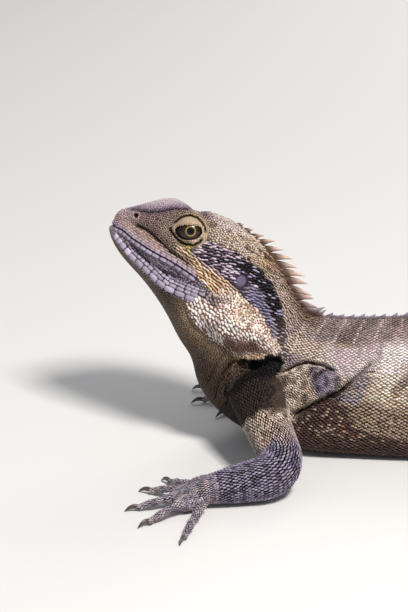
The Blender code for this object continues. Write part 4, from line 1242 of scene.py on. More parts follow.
def paint_neck(places, coat, down, fine, patchy):
    """Sides and front of the neck, and the pale lines over the shoulder."""
    along = places.along
    neck = ease((104 - along) / 14)
    side = mixed(srgb(200, 180, 164), srgb(162, 144, 144), ease(patchy + 0.2))
    side = mixed(side, srgb(146, 128, 122), ease((0.2 - down) / 0.1))
    coat.lay(neck, side * 1.06, side * 0.13)
    front = mixed(srgb(92, 74, 56), srgb(62, 48, 38), ease(fine + 0.3))
    coat.lay(neck * ease((down - 0.52) / 0.16), front, front * 0.3)
    lines = fade(np.mod(along + 22.4 * down, 9.0) - 4.5, 0.5) * ease((0.36 - down) / 0.1)
    lines = lines * ease((along - 84) / 8) * ease((140 - along) / 20)
    coat.lay(lines * 0.7, srgb(214, 196, 190), srgb(120, 104, 100))
    streaks = fade(np.mod(along + 22.4 * down + 4.5, 9.0) - 4.5, 0.9) * ease((0.33 - down) / 0.1)
    coat.lay(streaks * ease((along - 76) / 8) * ease((136 - along) / 20) * 0.3, srgb(120, 104, 108))


def paint_limb(places):
    """Limbs, slate with pale keels, warmer at the upper arm, and paler hands and feet."""
    points = places.points
    patchy, fine = ripples(points, 6.0, 31), ripples(points, 1.8, 32)
    kinds = np.array([tube.kind for tube in places.surface.tubes])[places.tube]
    arm, leg = kinds == "arm", kinds == "leg"
    coat = Coat(len(points), srgb(140, 130, 138))
    # The skin between the limb's scales near black: its own dark skin with painted shade between the keels.
    coat.gaps[:] = srgb(8, 6, 8)
    coat.lay(ease(patchy) * 0.5, srgb(108, 99, 106), srgb(8, 6, 8))
    front = fade(np.mod(places.turn + 0.5, 1) - 0.62, 0.18)
    warm = ease((0.66 + 0.08 * patchy - places.share) / 0.26) * (0.3 + 0.7 * front)
    coat.lay(arm * ease((places.share - 0.42) / 0.2) * 0.8, srgb(150, 141, 166), srgb(4, 3, 5))
    coat.lay(arm * ease((fine - 0.1) / 0.4) * ease((places.share - 0.5) / 0.1) * 0.65,
             srgb(64, 59, 74), srgb(3, 2, 4))
    coat.lay(arm * warm, srgb(226, 198, 180), srgb(12, 9, 7))
    coat.lay(arm * warm * ease((fine - 0.2) / 0.3) * 0.6, srgb(112, 92, 80), srgb(8, 6, 5))
    bars = ease(np.sin(2 * math.pi * (places.share * 6 + 0.15 * patchy)) / 0.5 - 0.2)
    coat.lay(leg * bars * 0.75, srgb(164, 142, 110), srgb(36, 28, 22))
    coat.lay(leg * ease((0.3 - places.share) / 0.2), srgb(150, 130, 106), srgb(30, 23, 20))
    far = (~arm & ~leg) * 1.0
    coat.lay(far, srgb(156, 145, 156), srgb(18, 14, 18))
    coat.lay(far * ease((fine - 0.25) / 0.4) * 0.5, srgb(190, 170, 160), srgb(34, 27, 26))
    coat.lay(far * ease((-fine - 0.3) / 0.3) * 0.5, srgb(96, 86, 96), srgb(12, 9, 12))
    return coat


def paint(places):
    """The markings of the whole animal with the shade painted into them, the same for its skin and its
    scales.
    """
    coat = paint_trunk(places)
    head = paint_head(places)
    coat.lay(ease((84 - places.along) / 14) * places.on_body, head.tops, head.gaps)
    ridge = fade(places.down, 0.8) * ease((places.along - 56) / 8) * ease((96 - places.along) / 10)
    coat.lay(ridge * places.on_body * 0.85, srgb(106, 76, 50), srgb(34, 22, 15))
    limb = paint_limb(places)
    coat.lay((~places.on_body) * 1.0, limb.tops, limb.gaps)
    paint_shoulder(places, coat)
    return coat


# Materials that show the painted colours: roughness, grain of their variation, strength of the bump
# and shine.
LOOKS = {
    "skin": (0.7, 900.0, 0.5, 0.12),
    "scales": (0.45, 1400.0, 0.3, 0.3),
    "plates": (0.45, 1100.0, 0.3, 0.3),
    "eye": (0.18, 300.0, 0.0, 0.45),
}


def add_node(tree, kind, values):
    """A new shader node with those values at its inputs."""
    node = tree.nodes.new(f"ShaderNode{kind}")
    for name, number in values.items():
        node.inputs[name].default_value = number
    return node


def new_material(name):
    """A material with its node tree and the shader in it."""
    material = bpy.data.materials.new(name)
    material.use_nodes = True
    return material, material.node_tree, material.node_tree.nodes["Principled BSDF"]


def make_material(name, roughness, grain, bump, shine):
    """A skin-like material: the painted colour with a fine variation, uneven gloss and a fine bump."""
    material, tree, shader = new_material(name)
    shader.inputs["Specular IOR Level"].default_value = shine
    colour = add_node(tree, "Attribute", {})
    colour.attribute_name = "paint"
    place = add_node(tree, "TexCoord", {})
    spots = add_node(tree, "TexNoise", {"Scale": grain, "Detail": 4.0})
    shade = add_node(tree, "MapRange", {"From Min": 0.3, "From Max": 0.7, "To Min": 0.82, "To Max": 1.15})
    scaled = add_node(tree, "VectorMath", {})
    scaled.operation = "SCALE"
    gloss = add_node(tree, "MapRange", {"To Min": roughness - 0.08, "To Max": roughness + 0.12})
    relief = add_node(tree, "Bump", {"Strength": bump, "Distance": 0.0002})
    for out, into in (
        (place.outputs["Object"], spots.inputs["Vector"]),
        (spots.outputs["Fac"], shade.inputs["Value"]),
        (colour.outputs["Color"], scaled.inputs[0]),
        (shade.outputs["Result"], scaled.inputs["Scale"]),
        (scaled.outputs["Vector"], shader.inputs["Base Color"]),
        (spots.outputs["Fac"], gloss.inputs["Value"]),
        (gloss.outputs["Result"], shader.inputs["Roughness"]),
        (spots.outputs["Fac"], relief.inputs["Height"]),
        (relief.outputs["Normal"], shader.inputs["Normal"]),
    ):
        tree.links.new(out, into)
    return material


def make_horn():
    """Dark, smooth horn with faint lengthwise streaks."""
    material, tree, shader = new_material("horn")
    shader.inputs["Roughness"].default_value = 0.3
    place = add_node(tree, "TexCoord", {})
    streaks = add_node(tree, "TexNoise", {"Scale": 500.0})
    ramp = add_node(tree, "ValToRGB", {})
    ramp.color_ramp.elements[0].color = (0.022, 0.018, 0.016, 1)
    ramp.color_ramp.elements[1].color = (0.13, 0.10, 0.08, 1)
    tree.links.new(place.outputs["Object"], streaks.inputs["Vector"])
    tree.links.new(streaks.outputs["Fac"], ramp.inputs["Fac"])
    tree.links.new(ramp.outputs["Color"], shader.inputs["Base Color"])
    return material


# Scales in rows: half length and half width as shares of their cell's length and width.
SCALE_LENGTH = 0.70
SCALE_GIRTH = 0.47
ARM_SCALE_GIRTH = 0.42

# Scattered scales: on the shoulder their least spacing, half length, half width and height as shares
# of it and the way they point; how often all are pushed apart, to how many times their least spacing
# and by what share of the lack each time.
SHOULDER_SPACING = 0.62
SHOULDER_SCALE = (0.92, 0.64, 0.4)
SHOULDER_LIE = (0.75, 0.0, -0.66)
EVENING_ROUNDS = 5
EVEN_SPACING = 1.42
EVENING_STEP = 0.35
NEIGHBOURS = [(i, j, k) for i in (-1, 0, 1) for j in (-1, 0, 1) for k in (-1, 0, 1)]

# Templates of scales: points as share of half length backwards, half width and height, how much of
# the scale's colour each point has over that of the skin, and faces. Every one is closed. The shares
# paint shade on the sunk front and rim of each scale and a painted highlight on its keel or top,
# lighter than the scale's own colour where they pass 1.
KEELED = (
    np.array([(-1, 0, -0.5), (-0.5, 0.85, -0.2), (0.5, 0.8, 0.05), (1.15, 0, 0.35), (0.5, -0.8, 0.05),
              (-0.5, -0.85, -0.2), (-0.6, 0, 0.3), (0.75, 0, 1.0)], float),
    np.array([0.0, 0.2, 0.4, 0.9, 0.4, 0.2, 1.0, 1.35]),
    np.array([(0, 6, 1), (1, 6, 7), (1, 7, 2), (2, 7, 3), (3, 7, 4), (4, 7, 5), (5, 7, 6), (5, 6, 0),
              (0, 1, 2), (0, 2, 3), (0, 3, 4), (0, 4, 5)]),
)


def bead_template(sides, rise, inner, square, rim_share):
    """A low domed bead, the more square in outline the lower the power."""
    angles = 2 * math.pi * (np.arange(sides) + 0.5) / sides
    outline = np.stack([np.cos(angles), np.sin(angles)], axis=1)
    outline = np.sign(outline) * np.abs(outline) ** square
    rim = np.column_stack([outline, np.full(sides, -0.5)])
    ring = np.column_stack([outline * inner, np.full(sides, rise)])
    points = np.concatenate([rim, ring, [(0.1, 0, 1.0)]])
    faces = []
    for i in range(sides):
        j = (i + 1) % sides
        faces += [(i, j, sides + j), (i, sides + j, sides + i), (sides + i, sides + j, 2 * sides)]
    faces += [(0, i + 1, i) for i in range(1, sides - 1)]
    # Painted shade on the rim, a painted highlight on the top.
    share = np.concatenate([np.full(sides, rim_share), np.full(sides, 0.95), [1.05]])
    return points, share, np.array(faces)


BEAD = bead_template(6, 0.85, 0.72, 1.0, 0.15)
PLATE = bead_template(8, 0.92, 0.88, 0.5, 0.3)


def scale_piece(name, template, roots, places, outwards, lie, sizes, tops, gaps, material):
    """One mesh of many scales, each set on the skin with its front sunk in.

    sizes holds half length, half width and height; lie is the way each scale points."""
    shape, share, faces = template
    outwards = unit(outwards)
    lie = unit(lie - outwards * (lie * outwards).sum(axis=1)[:, None])
    across = np.cross(outwards, lie)
    count, corners = len(roots), len(shape)
    local = shape[None] * sizes[:, None, :]
    points = (
        roots[:, None]
        + local[..., 0:1] * lie[:, None]
        + local[..., 1:2] * across[:, None]
        + local[..., 2:3] * outwards[:, None]
    )
    points = points.reshape(-1, 3)
    points[:, 2] = np.maximum(points[:, 2], SCALE_CLEARANCE)
    all_faces = (faces[None] + corners * np.arange(count)[:, None, None]).reshape(-1, 3)
    mesh = mesh_of(name, points, all_faces)
    # Each point mixes the scale's colour with the skin's by its share: painted shade low on the scale, a
    # painted highlight on its keel or top.
    share = share[None, :, None]
    put_colours(mesh, (tops[:, None] * share + gaps[:, None] * (1 - np.minimum(share, 1))).reshape(-1, 3))
    patch = places.uv()[:, None] + 0.0015 * shape[None, :, :2] / 1.2
    put_uv(mesh, patch.reshape(-1, 2)[all_faces.ravel()])
    mesh.materials.append(material)
    return new_object(name, mesh)


class Skin:
    """The finished skin, to set scales on."""

    def __init__(self, obj, surface):
        self.obj, self.surface = obj, surface
        mesh = obj.data
        self.points = coordinates(mesh)
        self.normals = normals(mesh)
        mesh.calc_loop_triangles()
        flat = np.empty(len(mesh.loop_triangles) * 3, np.int32)
        mesh.loop_triangles.foreach_get("vertices", flat)
        # The cut leaves the faces in an order that differs from run to run, so they are sorted here.
        triangles = flat.reshape(-1, 3)
        self.triangles = triangles[np.lexsort(triangles.T[::-1])]
        self.tree = BVHTree.FromPolygons(self.points.tolist(), self.triangles.tolist())

    def project(self, points, reach):
        """The nearest places of the skin: which of the points reach it, the places, their normals."""
        hits = [self.tree.find_nearest(point, reach) for point in points.tolist()]
        kept = np.array([hit[0] is not None for hit in hits])
        roots = np.array([hit[0] for hit in hits if hit[0] is not None])
        face = np.array([hit[2] for hit in hits if hit[0] is not None])
        return kept, roots, unit(self.normals[self.triangles[face]].mean(axis=1))


def lie_of(places):
    """The way scales point at each place: backwards on the body, outwards along a limb."""
    ways = np.zeros((len(places.points), 3))
    for number in np.unique(places.tube):
        tube = places.surface.tubes[number]
        at = places.tube == number
        gradient = np.gradient(tube.grid, axis=0)
        row = np.clip(places.row[at].astype(int), 0, tube.grid.shape[0] - 1)
        column = places.column[at].astype(int) % tube.grid.shape[1]
        ways[at] = gradient[row, column]
    return unit(ways)


def lattice(tube, pitch, stretch, rows_from=0.0, rows_to=1.0):
    """Staggered points over a tube, in rows that follow its rings, with the width and length of each cell."""
    length = tube.lengths[-1]
    position = length * rows_from
    points, widths, rises, row_number = [], [], [], 0
    ring_steps = np.linalg.norm(np.roll(tube.grid, -1, axis=1) - tube.grid, axis=2)
    perimeters = ring_steps.sum(axis=1)
    columns = None
    while position < length * rows_to:
        row = np.interp(position, tube.lengths, np.arange(len(tube.lengths)))
        low = min(int(row), len(tube.lengths) - 2)
        share = row - low
        ring = tube.grid[low] * (1 - share) + tube.grid[low + 1] * share
        perimeter = perimeters[low] * (1 - share) + perimeters[low + 1] * share
        ideal = perimeter / pitch
        if columns is None or ideal < columns * 0.8 or ideal > columns * 1.25:
            columns = max(6, round(ideal))
        cell = perimeter / columns
        closed = np.concatenate([ring, ring[:1]])
        lengths = running_length(closed)
        spots = (np.arange(columns) + 0.5 * (row_number % 2)) / columns * lengths[-1]
        points.append(np.stack([np.interp(spots, lengths, closed[:, k]) for k in range(3)], axis=1))
        apart = np.linalg.norm(tube.grid[low + 1] - tube.grid[low], axis=1)
        apart = np.clip(apart / max(tube.lengths[low + 1] - tube.lengths[low], 1e-6), 0.6, 1.7)
        widths.append(np.full(columns, cell))
        rises.append(cell * stretch * np.interp(spots, lengths, np.append(apart, apart[0])))
        position += cell * stretch
        row_number += 1
    return np.concatenate(points), np.concatenate(widths), np.concatenate(rises)


def crowded(taken, cell, point, gap):
    """Whether a point taken before, listed by its cell, lies nearer than the gap."""
    i, j, k = cell
    x, y, z = point
    square = gap**2
    for di, dj, dk in NEIGHBOURS:
        for px, py, pz in taken.get((i + di, j + dj, k + dk), ()):
            if (px - x) ** 2 + (py - y) ** 2 + (pz - z) ** 2 < square:
                return True
    return False


def scattered(skin, spacing, inside, seed):
    """Points spread over part of the skin, none much nearer to another than the spacing wanted there."""
    rng = np.random.default_rng(seed)
    triangles = skin.triangles[inside[skin.triangles].all(axis=1)]
    corners = skin.points[triangles]
    area = np.linalg.norm(np.cross(corners[:, 1] - corners[:, 0], corners[:, 2] - corners[:, 0]), axis=1) / 2
    wanted = spacing[triangles].mean(axis=1)
    weight = area / wanted**2
    draws = int(weight.sum() * 7)
    chosen = rng.choice(len(triangles), draws, p=weight / weight.sum())
    a, b = rng.random(draws), rng.random(draws)
    flip = a + b > 1
    a[flip], b[flip] = 1 - a[flip], 1 - b[flip]
    c = corners[chosen]
    points = c[:, 0] + a[:, None] * (c[:, 1] - c[:, 0]) + b[:, None] * (c[:, 2] - c[:, 0])
    gaps = wanted[chosen]
    cell = gaps.max()
    cells = [tuple(at) for at in np.floor(points / cell).astype(int).tolist()]
    taken, kept = {}, []
    for number, (point, gap) in enumerate(zip(points.tolist(), gaps.tolist())):
        if not crowded(taken, cells[number], point, gap):
            taken.setdefault(cells[number], []).append(point)
            kept.append(number)
    return points[kept], gaps[kept]


def tree_of(points):
    """A search tree of points, each under its number."""
    tree = KDTree(len(points))
    for number, point in enumerate(points.tolist()):
        tree.insert(point, number)
    tree.balance()
    return tree


def evened(skin, points, gaps):
    """Points on the skin pushed apart until they stand evenly."""
    for _ in range(EVENING_ROUNDS):
        tree = tree_of(points)
        near = np.array([[hit[1] for hit in tree.find_n(point, 7)][1:] for point in points.tolist()])
        offset = points[:, None] - points[near]
        apart = np.maximum(np.linalg.norm(offset, axis=2), 1e-6)
        lack = np.clip(EVEN_SPACING * gaps[:, None] - apart, 0, None)
        points = points + EVENING_STEP * (offset * (lack / apart)[..., None]).sum(axis=1)
        points = skin.project(points, 4.0)[1]
    return points


def covered(points, plates):
    """Which points lie under a plate."""
    roots, ways, sizes = plates[0], unit(plates[1]), plates[2]
    tree = tree_of(roots)
    near = np.array([[hit[1] for hit in tree.find_n(point, 4)] for point in points.tolist()])
    offset = points[:, None] - roots[near]
    along = np.abs((offset * ways[near]).sum(axis=2))
    across = np.sqrt(np.maximum((offset**2).sum(axis=2) - along**2, 0))
    return ((along < sizes[near, 0]) & (across < sizes[near, 1] + 0.1)).any(axis=1)


def varied(tops, low, high, rng):
    """Each scale's colour a little lighter or darker than painted, and a little off in hue."""
    shades = rng.uniform(low, high, len(tops))[:, None]
    return tops * shades * (1 + rng.normal(size=tops.shape) * 0.04)


def lattice_coat(name, skin, tube, material, pitch, stretch, height, seed, rows, keep):
    """Keeled scales over one tube, where it is the outside of the animal."""
    points, widths, rises = lattice(tube, pitch, stretch, *rows)
    rng = np.random.default_rng(seed)
    points = points + rng.normal(size=points.shape) * widths[:, None] * 0.06
    kept, roots, outwards = skin.project(points, 1.6)
    widths, rises = widths[kept], rises[kept]
    places = skin.surface.places(roots)
    chosen = keep(places, roots)
    roots, outwards, widths, rises = roots[chosen], outwards[chosen], widths[chosen], rises[chosen]
    if len(roots) == 0:
        return None
    places = skin.surface.places(roots)
    count = len(roots)
    girth = ARM_SCALE_GIRTH if tube.kind == "arm" else SCALE_GIRTH
    heights = widths * height * rng.uniform(0.75, 1.2, count)
    sizes = np.stack([rises * SCALE_LENGTH, widths * girth, heights], axis=1)
    sizes = sizes * rng.uniform(0.9, 1.1, count)[:, None]
    coat, lie = paint(places), lie_of(places)
    tops = spotted(places, varied(coat.tops, 0.76, 1.36, rng), rng)
    return scale_piece(name, KEELED, roots, places, outwards, lie, sizes, tops, coat.gaps, material)


def spotted(places, tops, rng):
    """Paler scales over the dark lower flank, and a few orange ones."""
    down = places.down / (LINES / 2)
    draw = rng.random(len(down))
    flank = places.on_body & (places.along > 92) & (places.along < 240)
    flank = flank * ease((down - 0.32) / 0.05) * ease((0.62 - down) / 0.08)
    tops = mixed(tops, srgb(180, 156, 136), flank * (draw < 0.2) * 0.75)
    return mixed(tops, srgb(150, 92, 72), flank * (draw > 0.988))


def trunk_coats(skin, material):
    """Keeled scales of the trunk and tail."""
    body, trunk = skin.surface.body, skin.surface.tubes[0]
    shoulder, vent, end = body.at("shoulder") + 1, body.at("tail 0"), trunk.along[-1]

    def on_trunk(places, roots):
        return places.on_body & (places.along > shoulder) & ~shoulder_area(roots)

    made = []
    for name, first, last, pitch, stretch, height in (
        ("trunk_scales_front", shoulder, 130, 1.1, 0.9, 0.34),
        ("trunk_scales_rear", 130, vent, 1.25, 0.88, 0.34),
        ("tail_scales", vent, end, 1.6, 1.0, 0.36),
    ):
        rows = np.interp((first, last), trunk.along, trunk.lengths) / trunk.lengths[-1]
        made.append(lattice_coat(name, skin, trunk, material, pitch, stretch, height, 40, rows, on_trunk))
    return made


def shoulder_area(points):
    """Which points lie on the loose skin over the shoulder or in one of its folds."""
    near = (points[:, 0] < -28) & (np.abs(points[:, 1]) < 48) & (points[:, 2] > 8)
    inside = inside_distance(slanted(points), TRIANGLE) > 0.3
    for gap, _, _, width in folds_at(points):
        inside |= gap < width * 1.7 + 0.2
    return near & inside


def shoulder_coat(skin, material):
    """Fine keeled scales on the loose skin over the shoulder and in the folds."""
    start = skin.surface.body.at("shoulder") + 1
    places = skin.surface.places(skin.points)
    inside = shoulder_area(skin.points) & (~places.on_body | (places.along > start))
    roots, gaps = scattered(skin, np.full(len(skin.points), SHOULDER_SPACING), inside, 15)
    roots = evened(skin, roots, gaps)
    _, roots, outwards = skin.project(roots, 1.0)
    at = skin.surface.places(roots)
    rng = np.random.default_rng(16)
    sizes = np.array(SHOULDER_SCALE) * SHOULDER_SPACING * rng.uniform(0.85, 1.15, len(roots))[:, None]
    lie = np.tile(SHOULDER_LIE, (len(roots), 1))
    coat = paint(at)
    tops = varied(coat.tops, 0.7, 1.3, rng)
    return scale_piece("shoulder_scales", KEELED, roots, at, outwards, lie, sizes, tops, coat.gaps, material)


# Scales of the limbs: spacing, length as a share of it, and height as a share of it.
LIMB_SCALES = {
    "arm": (1.34, 0.9, 0.42), "leg": (1.5, 0.9, 0.42), "hand": (0.85, 0.9, 0.34), "foot": (1.0, 0.9, 0.34),
    "digit": (1.25, 0.62, 0.26),
}


def limb_coats(skin, material):
    """Keeled scales of the limbs, apart from the loose skin over the shoulder."""

    def on_limb(places, roots):
        return ~places.on_body & (roots[:, 2] > 0.25) & ~shoulder_area(roots)

    made = []
    for number, tube in enumerate(skin.surface.tubes[1:]):
        name, seed = f"scales_{tube.name}", 60 + 5 * number
        sizes = LIMB_SCALES[tube.kind]
        made.append(lattice_coat(name, skin, tube, material, *sizes, seed, (0.0, 1.0), on_limb))
    return [obj for obj in made if obj is not None]


# Scales of the head by kind: half length, half width and height as shares of their spacing. How far
# lid scales reach from the middle of the eye, and how far inside its outline the flap has its own.
HEAD_SCALES = {
    "granule": (0.74, 0.68, 0.26),
    "lump": (0.94, 0.84, 0.6),
    "neck": (0.86, 0.66, 0.40),
    "temple": (0.98, 0.54, 0.55),
    "large temple": (1.25, 0.76, 0.75),
    "jowl": (0.90, 0.68, 0.66),
    "knob": (0.80, 0.72, 0.42),
    "large knob": (1.2, 0.98, 0.75),
    "flap": (0.70, 0.66, 0.16),
    "cream": (1.2, 0.55, 0.42),
    "lid": (0.72, 0.62, 0.12),
    "spine": (1.1, 0.5, 1.2),
}
LID_REACH = 6.2
FLAP_MARGIN = 0.5


def upper_jowl(at):
    """Which places on the side of the head lie above the large scales of the jowl."""
    return at[:, 1] > line_height(JOWL_LARGE, at[:, 0])


def head_spacing(places):
    """How far apart the scales of the head and neck stand, at the least."""
    at = places.side_points
    back = at[:, 0]
    jowl = within(at, JOWL_OUTLINE)
    gap = 0.58 + 0.12 * ease((back - 12) / 16) + 0.1 * ease((places.along - 56) / 10)
    for area, size in (
        (within(at, TEMPLE_OUTLINE), 1.0), (jowl, 1.15), (jowl & upper_jowl(at), 0.82),
        (within(at, FLAP_OUTLINE, FLAP_MARGIN), 0.68), (within(at, CREAM_OUTLINE), 0.95),
    ):
        gap = np.where(area, size, gap)
    return gap - 0.2 * ease((6.6 - eye_distance(at)) / 0.5)


def head_kinds(places, draw):
    """Half length, half width and height of each scale of the head, as shares of its spacing.

    Also which of them are keeled, which are large, and how far the way they point is turned up."""
    at = places.side_points
    neck = places.along > 58
    temple, jowl, cream = (within(at, outline) for outline in (TEMPLE_OUTLINE, JOWL_OUTLINE, CREAM_OUTLINE))
    knobs = jowl & upper_jowl(at)
    flap = within(at, FLAP_OUTLINE, FLAP_MARGIN)
    lids = eye_distance(at) < LID_REACH
    big = temple & ~lids & (draw < 0.12)
    spiny = (places.down < 1.6) & (places.along > 42) & (draw < 0.26)
    shape = np.tile(HEAD_SCALES["granule"], (len(draw), 1))
    for kind, chosen in (
        ("lump", (at[:, 0] > 27) & (at[:, 1] > 2) & (draw > 0.9)), ("neck", neck), ("temple", temple),
        ("jowl", jowl), ("knob", knobs), ("large knob", knobs & (draw > 0.88)), ("flap", flap),
        ("cream", cream), ("lid", lids), ("large temple", big), ("spine", spiny),
    ):
        shape[chosen] = HEAD_SCALES[kind]
    keeled = (neck | temple | jowl | cream | spiny) & ~lids & ~knobs
    twist = np.radians(16.0) * temple - np.radians(10.0) * cream - np.radians(28.0) * jowl
    return shape, keeled & ~flap, big, twist


def head_coat(skin, plates, material):
    """Granules, keeled scales and spiny scales over the head and neck."""
    surface = skin.surface
    places = surface.places(skin.points)
    inside = places.on_body & (places.along < surface.body.at("shoulder") + 1)
    for side in SIDES.values():
        inside &= ~before_eye(skin.points, side, LID_INSIDE - 0.1)
    roots, gaps = scattered(skin, head_spacing(places), inside, 5)
    roots = evened(skin, roots, gaps)
    keep = ~on_features(surface.places(roots)) & ~covered(roots, plates)
    roots, gaps = roots[keep], gaps[keep]
    _, roots, outwards = skin.project(roots, 1.0)
    at = surface.places(roots)
    rng = np.random.default_rng(6)
    shape, keeled, big, twist = head_kinds(at, rng.random(len(roots)))
    jowl = within(at.side_points, JOWL_OUTLINE)
    twist = -np.sign(at.out) * (twist + rng.normal(size=len(roots)) * np.where(jowl, 0.22, 0.08))
    spread = np.where(jowl, 0.26, 0.1)
    sizes = shape * gaps[:, None] * rng.uniform(1 - spread, 1 + spread)[:, None]
    coat = paint(at)
    tops = head_tops(at, coat.tops, big, rng)
    lie = lie_of(at)
    lie[at_head(at)] = unit(head_point(1, 0, 0) - head_point(0, 0, 0))
    lie = unit(lie - outwards * (lie * outwards).sum(axis=1)[:, None])
    lie = lie * np.cos(twist)[:, None] + np.cross(outwards, lie) * np.sin(twist)[:, None]
    made = []
    for kind, of_kind, template in (("granules", ~keeled, BEAD), ("keels", keeled, KEELED)):
        for side_name, half in (("left", at.out < 0), ("right", at.out >= 0)):
            pick = np.nonzero(half & of_kind)[0]
            here = surface.places(roots[pick])
            made.append(scale_piece(
                f"head_{kind}_{side_name}", template, roots[pick], here, outwards[pick], lie[pick],
                sizes[pick], tops[pick], coat.gaps[pick], material,
            ))
    return made


def at_head(at):
    """Which places lie on the head rather than the neck."""
    inside = at.back < 50
    for outline in (TEMPLE_OUTLINE, JOWL_OUTLINE, CREAM_OUTLINE, BLACK_OUTLINE):
        inside |= within(at.side_points, outline)
    return inside


def on_features(at):
    """Where the mouth, the ear disc, a nostril or the creases of the lids leave no room for scales."""
    height = at.up - lip_height(at.back)
    mouth = (np.abs(height) < 0.28) & (at.back < MOUTH_LENGTH) & (at.back > 0.5)
    ear = ear_distance(at.side_points) < EAR_RADIUS - 0.2
    nostril = np.linalg.norm(at.side_points - NOSTRIL, axis=1) < 0.95
    crease = np.zeros(len(height), bool)
    for line in (UPPER_LID, LOWER_LID):
        gap, share = segment_distance(at.side_points, line)
        crease |= (gap < 0.45) & (share > 0.08) & (share < 0.94)
    return mouth | ear | nostril | crease


def head_tops(at, tops, big, rng):
    """Colours of the single scales of the head: lighter and darker ones, and pale large ones."""
    lids = eye_distance(at.side_points) < LID_REACH
    spread = np.where(lids, 0.1, 0.26)
    tops = varied(tops, 1 - spread, 1 + spread, rng)
    draw = rng.random(len(tops))
    temple, black, grey, jowl, flap = (
        within(at.side_points, outline)
        for outline in (TEMPLE_OUTLINE, BLACK_OUTLINE, GREY_OUTLINE, JOWL_OUTLINE, FLAP_OUTLINE)
    )
    tops[temple & ~lids & ~grey & (draw < 0.38)] *= 0.22
    tops[black & (draw > 0.78)] = srgb(158, 148, 172)
    tops[big & ~black & ~grey] = srgb(196, 178, 190)
    tops[jowl & ~flap & (draw < 0.15)] *= 0.5
    tops[jowl & ~flap & upper_jowl(at.side_points)] *= (0.96, 0.91, 0.86)
    return tops


# Rows of small plates over the lip, with their height over it and colour, and rows over the row of
# large chin plates: start, length and half height of their plates, and height over that row.
UPPER_LABIALS = (
    (0.62, srgb(178, 163, 182)), (1.42, srgb(172, 148, 148)), (2.2, srgb(172, 148, 148)),
    (2.98, srgb(164, 138, 128)), (3.74, srgb(164, 138, 128)),
)
CHIN_ROWS_ABOVE = ((9, 2.9, 0.72, 1.72), (19, 2.6, 0.64, 3.08), (27, 2.2, 0.54, 4.24))


def plate_rows():
    """Rows of plates along the jaws: line, length, half height, rise, colour and shade of the rim."""
    back = np.linspace(0.9, 35.5, 40)
    lip = lip_height(back)
    rows = []
    for number, (height, colour) in enumerate(UPPER_LABIALS):
        line = np.stack([back + 0.4 * (number % 2), lip + height], axis=1)
        rows.append((line, 2.3, 0.43, 0.16, colour, 0.55))
    rows.append((np.stack([back, lip - 0.85], axis=1), 3.2, 0.66, 0.26, srgb(152, 140, 158), 0.42))
    rows.append((np.stack([back + 0.5, lip - 1.75], axis=1)[2:], 1.8, 0.40, 0.2, srgb(104, 92, 106), 0.3))
    chin = np.array(CHIN_ROW, float)
    rows.append((chin, 3.9, 1.08, 0.36, srgb(186, 174, 194), 0.14))
    for start, length, half, over in CHIN_ROWS_ABOVE:
        first = (start, line_height(chin, start) + over - 0.15)
        line = np.concatenate([[first], chin[chin[:, 0] > start] + (0, over)])
        rows.append((line, length, half, 0.3, srgb(168, 156, 174), 0.14))
    return rows


def plate_spots(skin):
    """Places, ways, sizes, colours and rim colours of the labials and of the large chin plates."""
    plates = []
    rng = np.random.default_rng(9)
    for side in SIDES.values():
        for line, length, half_height, rise, colour, rim in plate_rows():
            steps = running_length(line)
            position = length / 2 * rng.uniform(0.6, 1.0)
            while position < steps[-1]:
                size = length * min(1, 0.5 + 0.5 * position / 16) * rng.uniform(0.86, 1.08)
                spots = [
                    [np.interp(position + step, steps, line[:, k]) for k in range(2)]
                    for step in (-0.4, 0, 0.4)
                ]
                hits = [side_hit(skin, spot, side) for spot in spots]
                under_crease = spots[1][1] < line_height(LOREAL, spots[1][0]) - 0.2
                if under_crease and all(hit is not None for hit in hits):
                    half = half_height * rng.uniform(0.94, 1.06)
                    sizes = (size * 0.55, half, rise * rng.uniform(0.85, 1.15))
                    top = colour * rng.uniform(0.7, 1.14)
                    plates.append((hits[1], hits[2] - hits[0], sizes, top, colour * rim))
                position += size
    return tuple(np.array(values) for values in zip(*plates))


def jaw_plates(skin, plates, material):
    """The labials and the rows of large chin plates, each lying along its row."""
    roots, ways, sizes, tops, gaps = plates
    at = skin.surface.places(roots)
    _, _, outwards = skin.project(roots, 3.0)
    return scale_piece("jaw_plates", PLATE, roots, at, outwards, ways, sizes, tops, gaps, material)


def side_hit(skin, spot, side):
    """The place of the skin at that distance back and up on one side of the head, or None."""
    back, up = spot
    far = head_point(back, side * FAR_OUT, up)
    near = head_point(back, 0, up)
    hit = skin.tree.ray_cast(Vector(far), Vector(unit(near - far)))[0]
    return None if hit is None else np.array(hit)


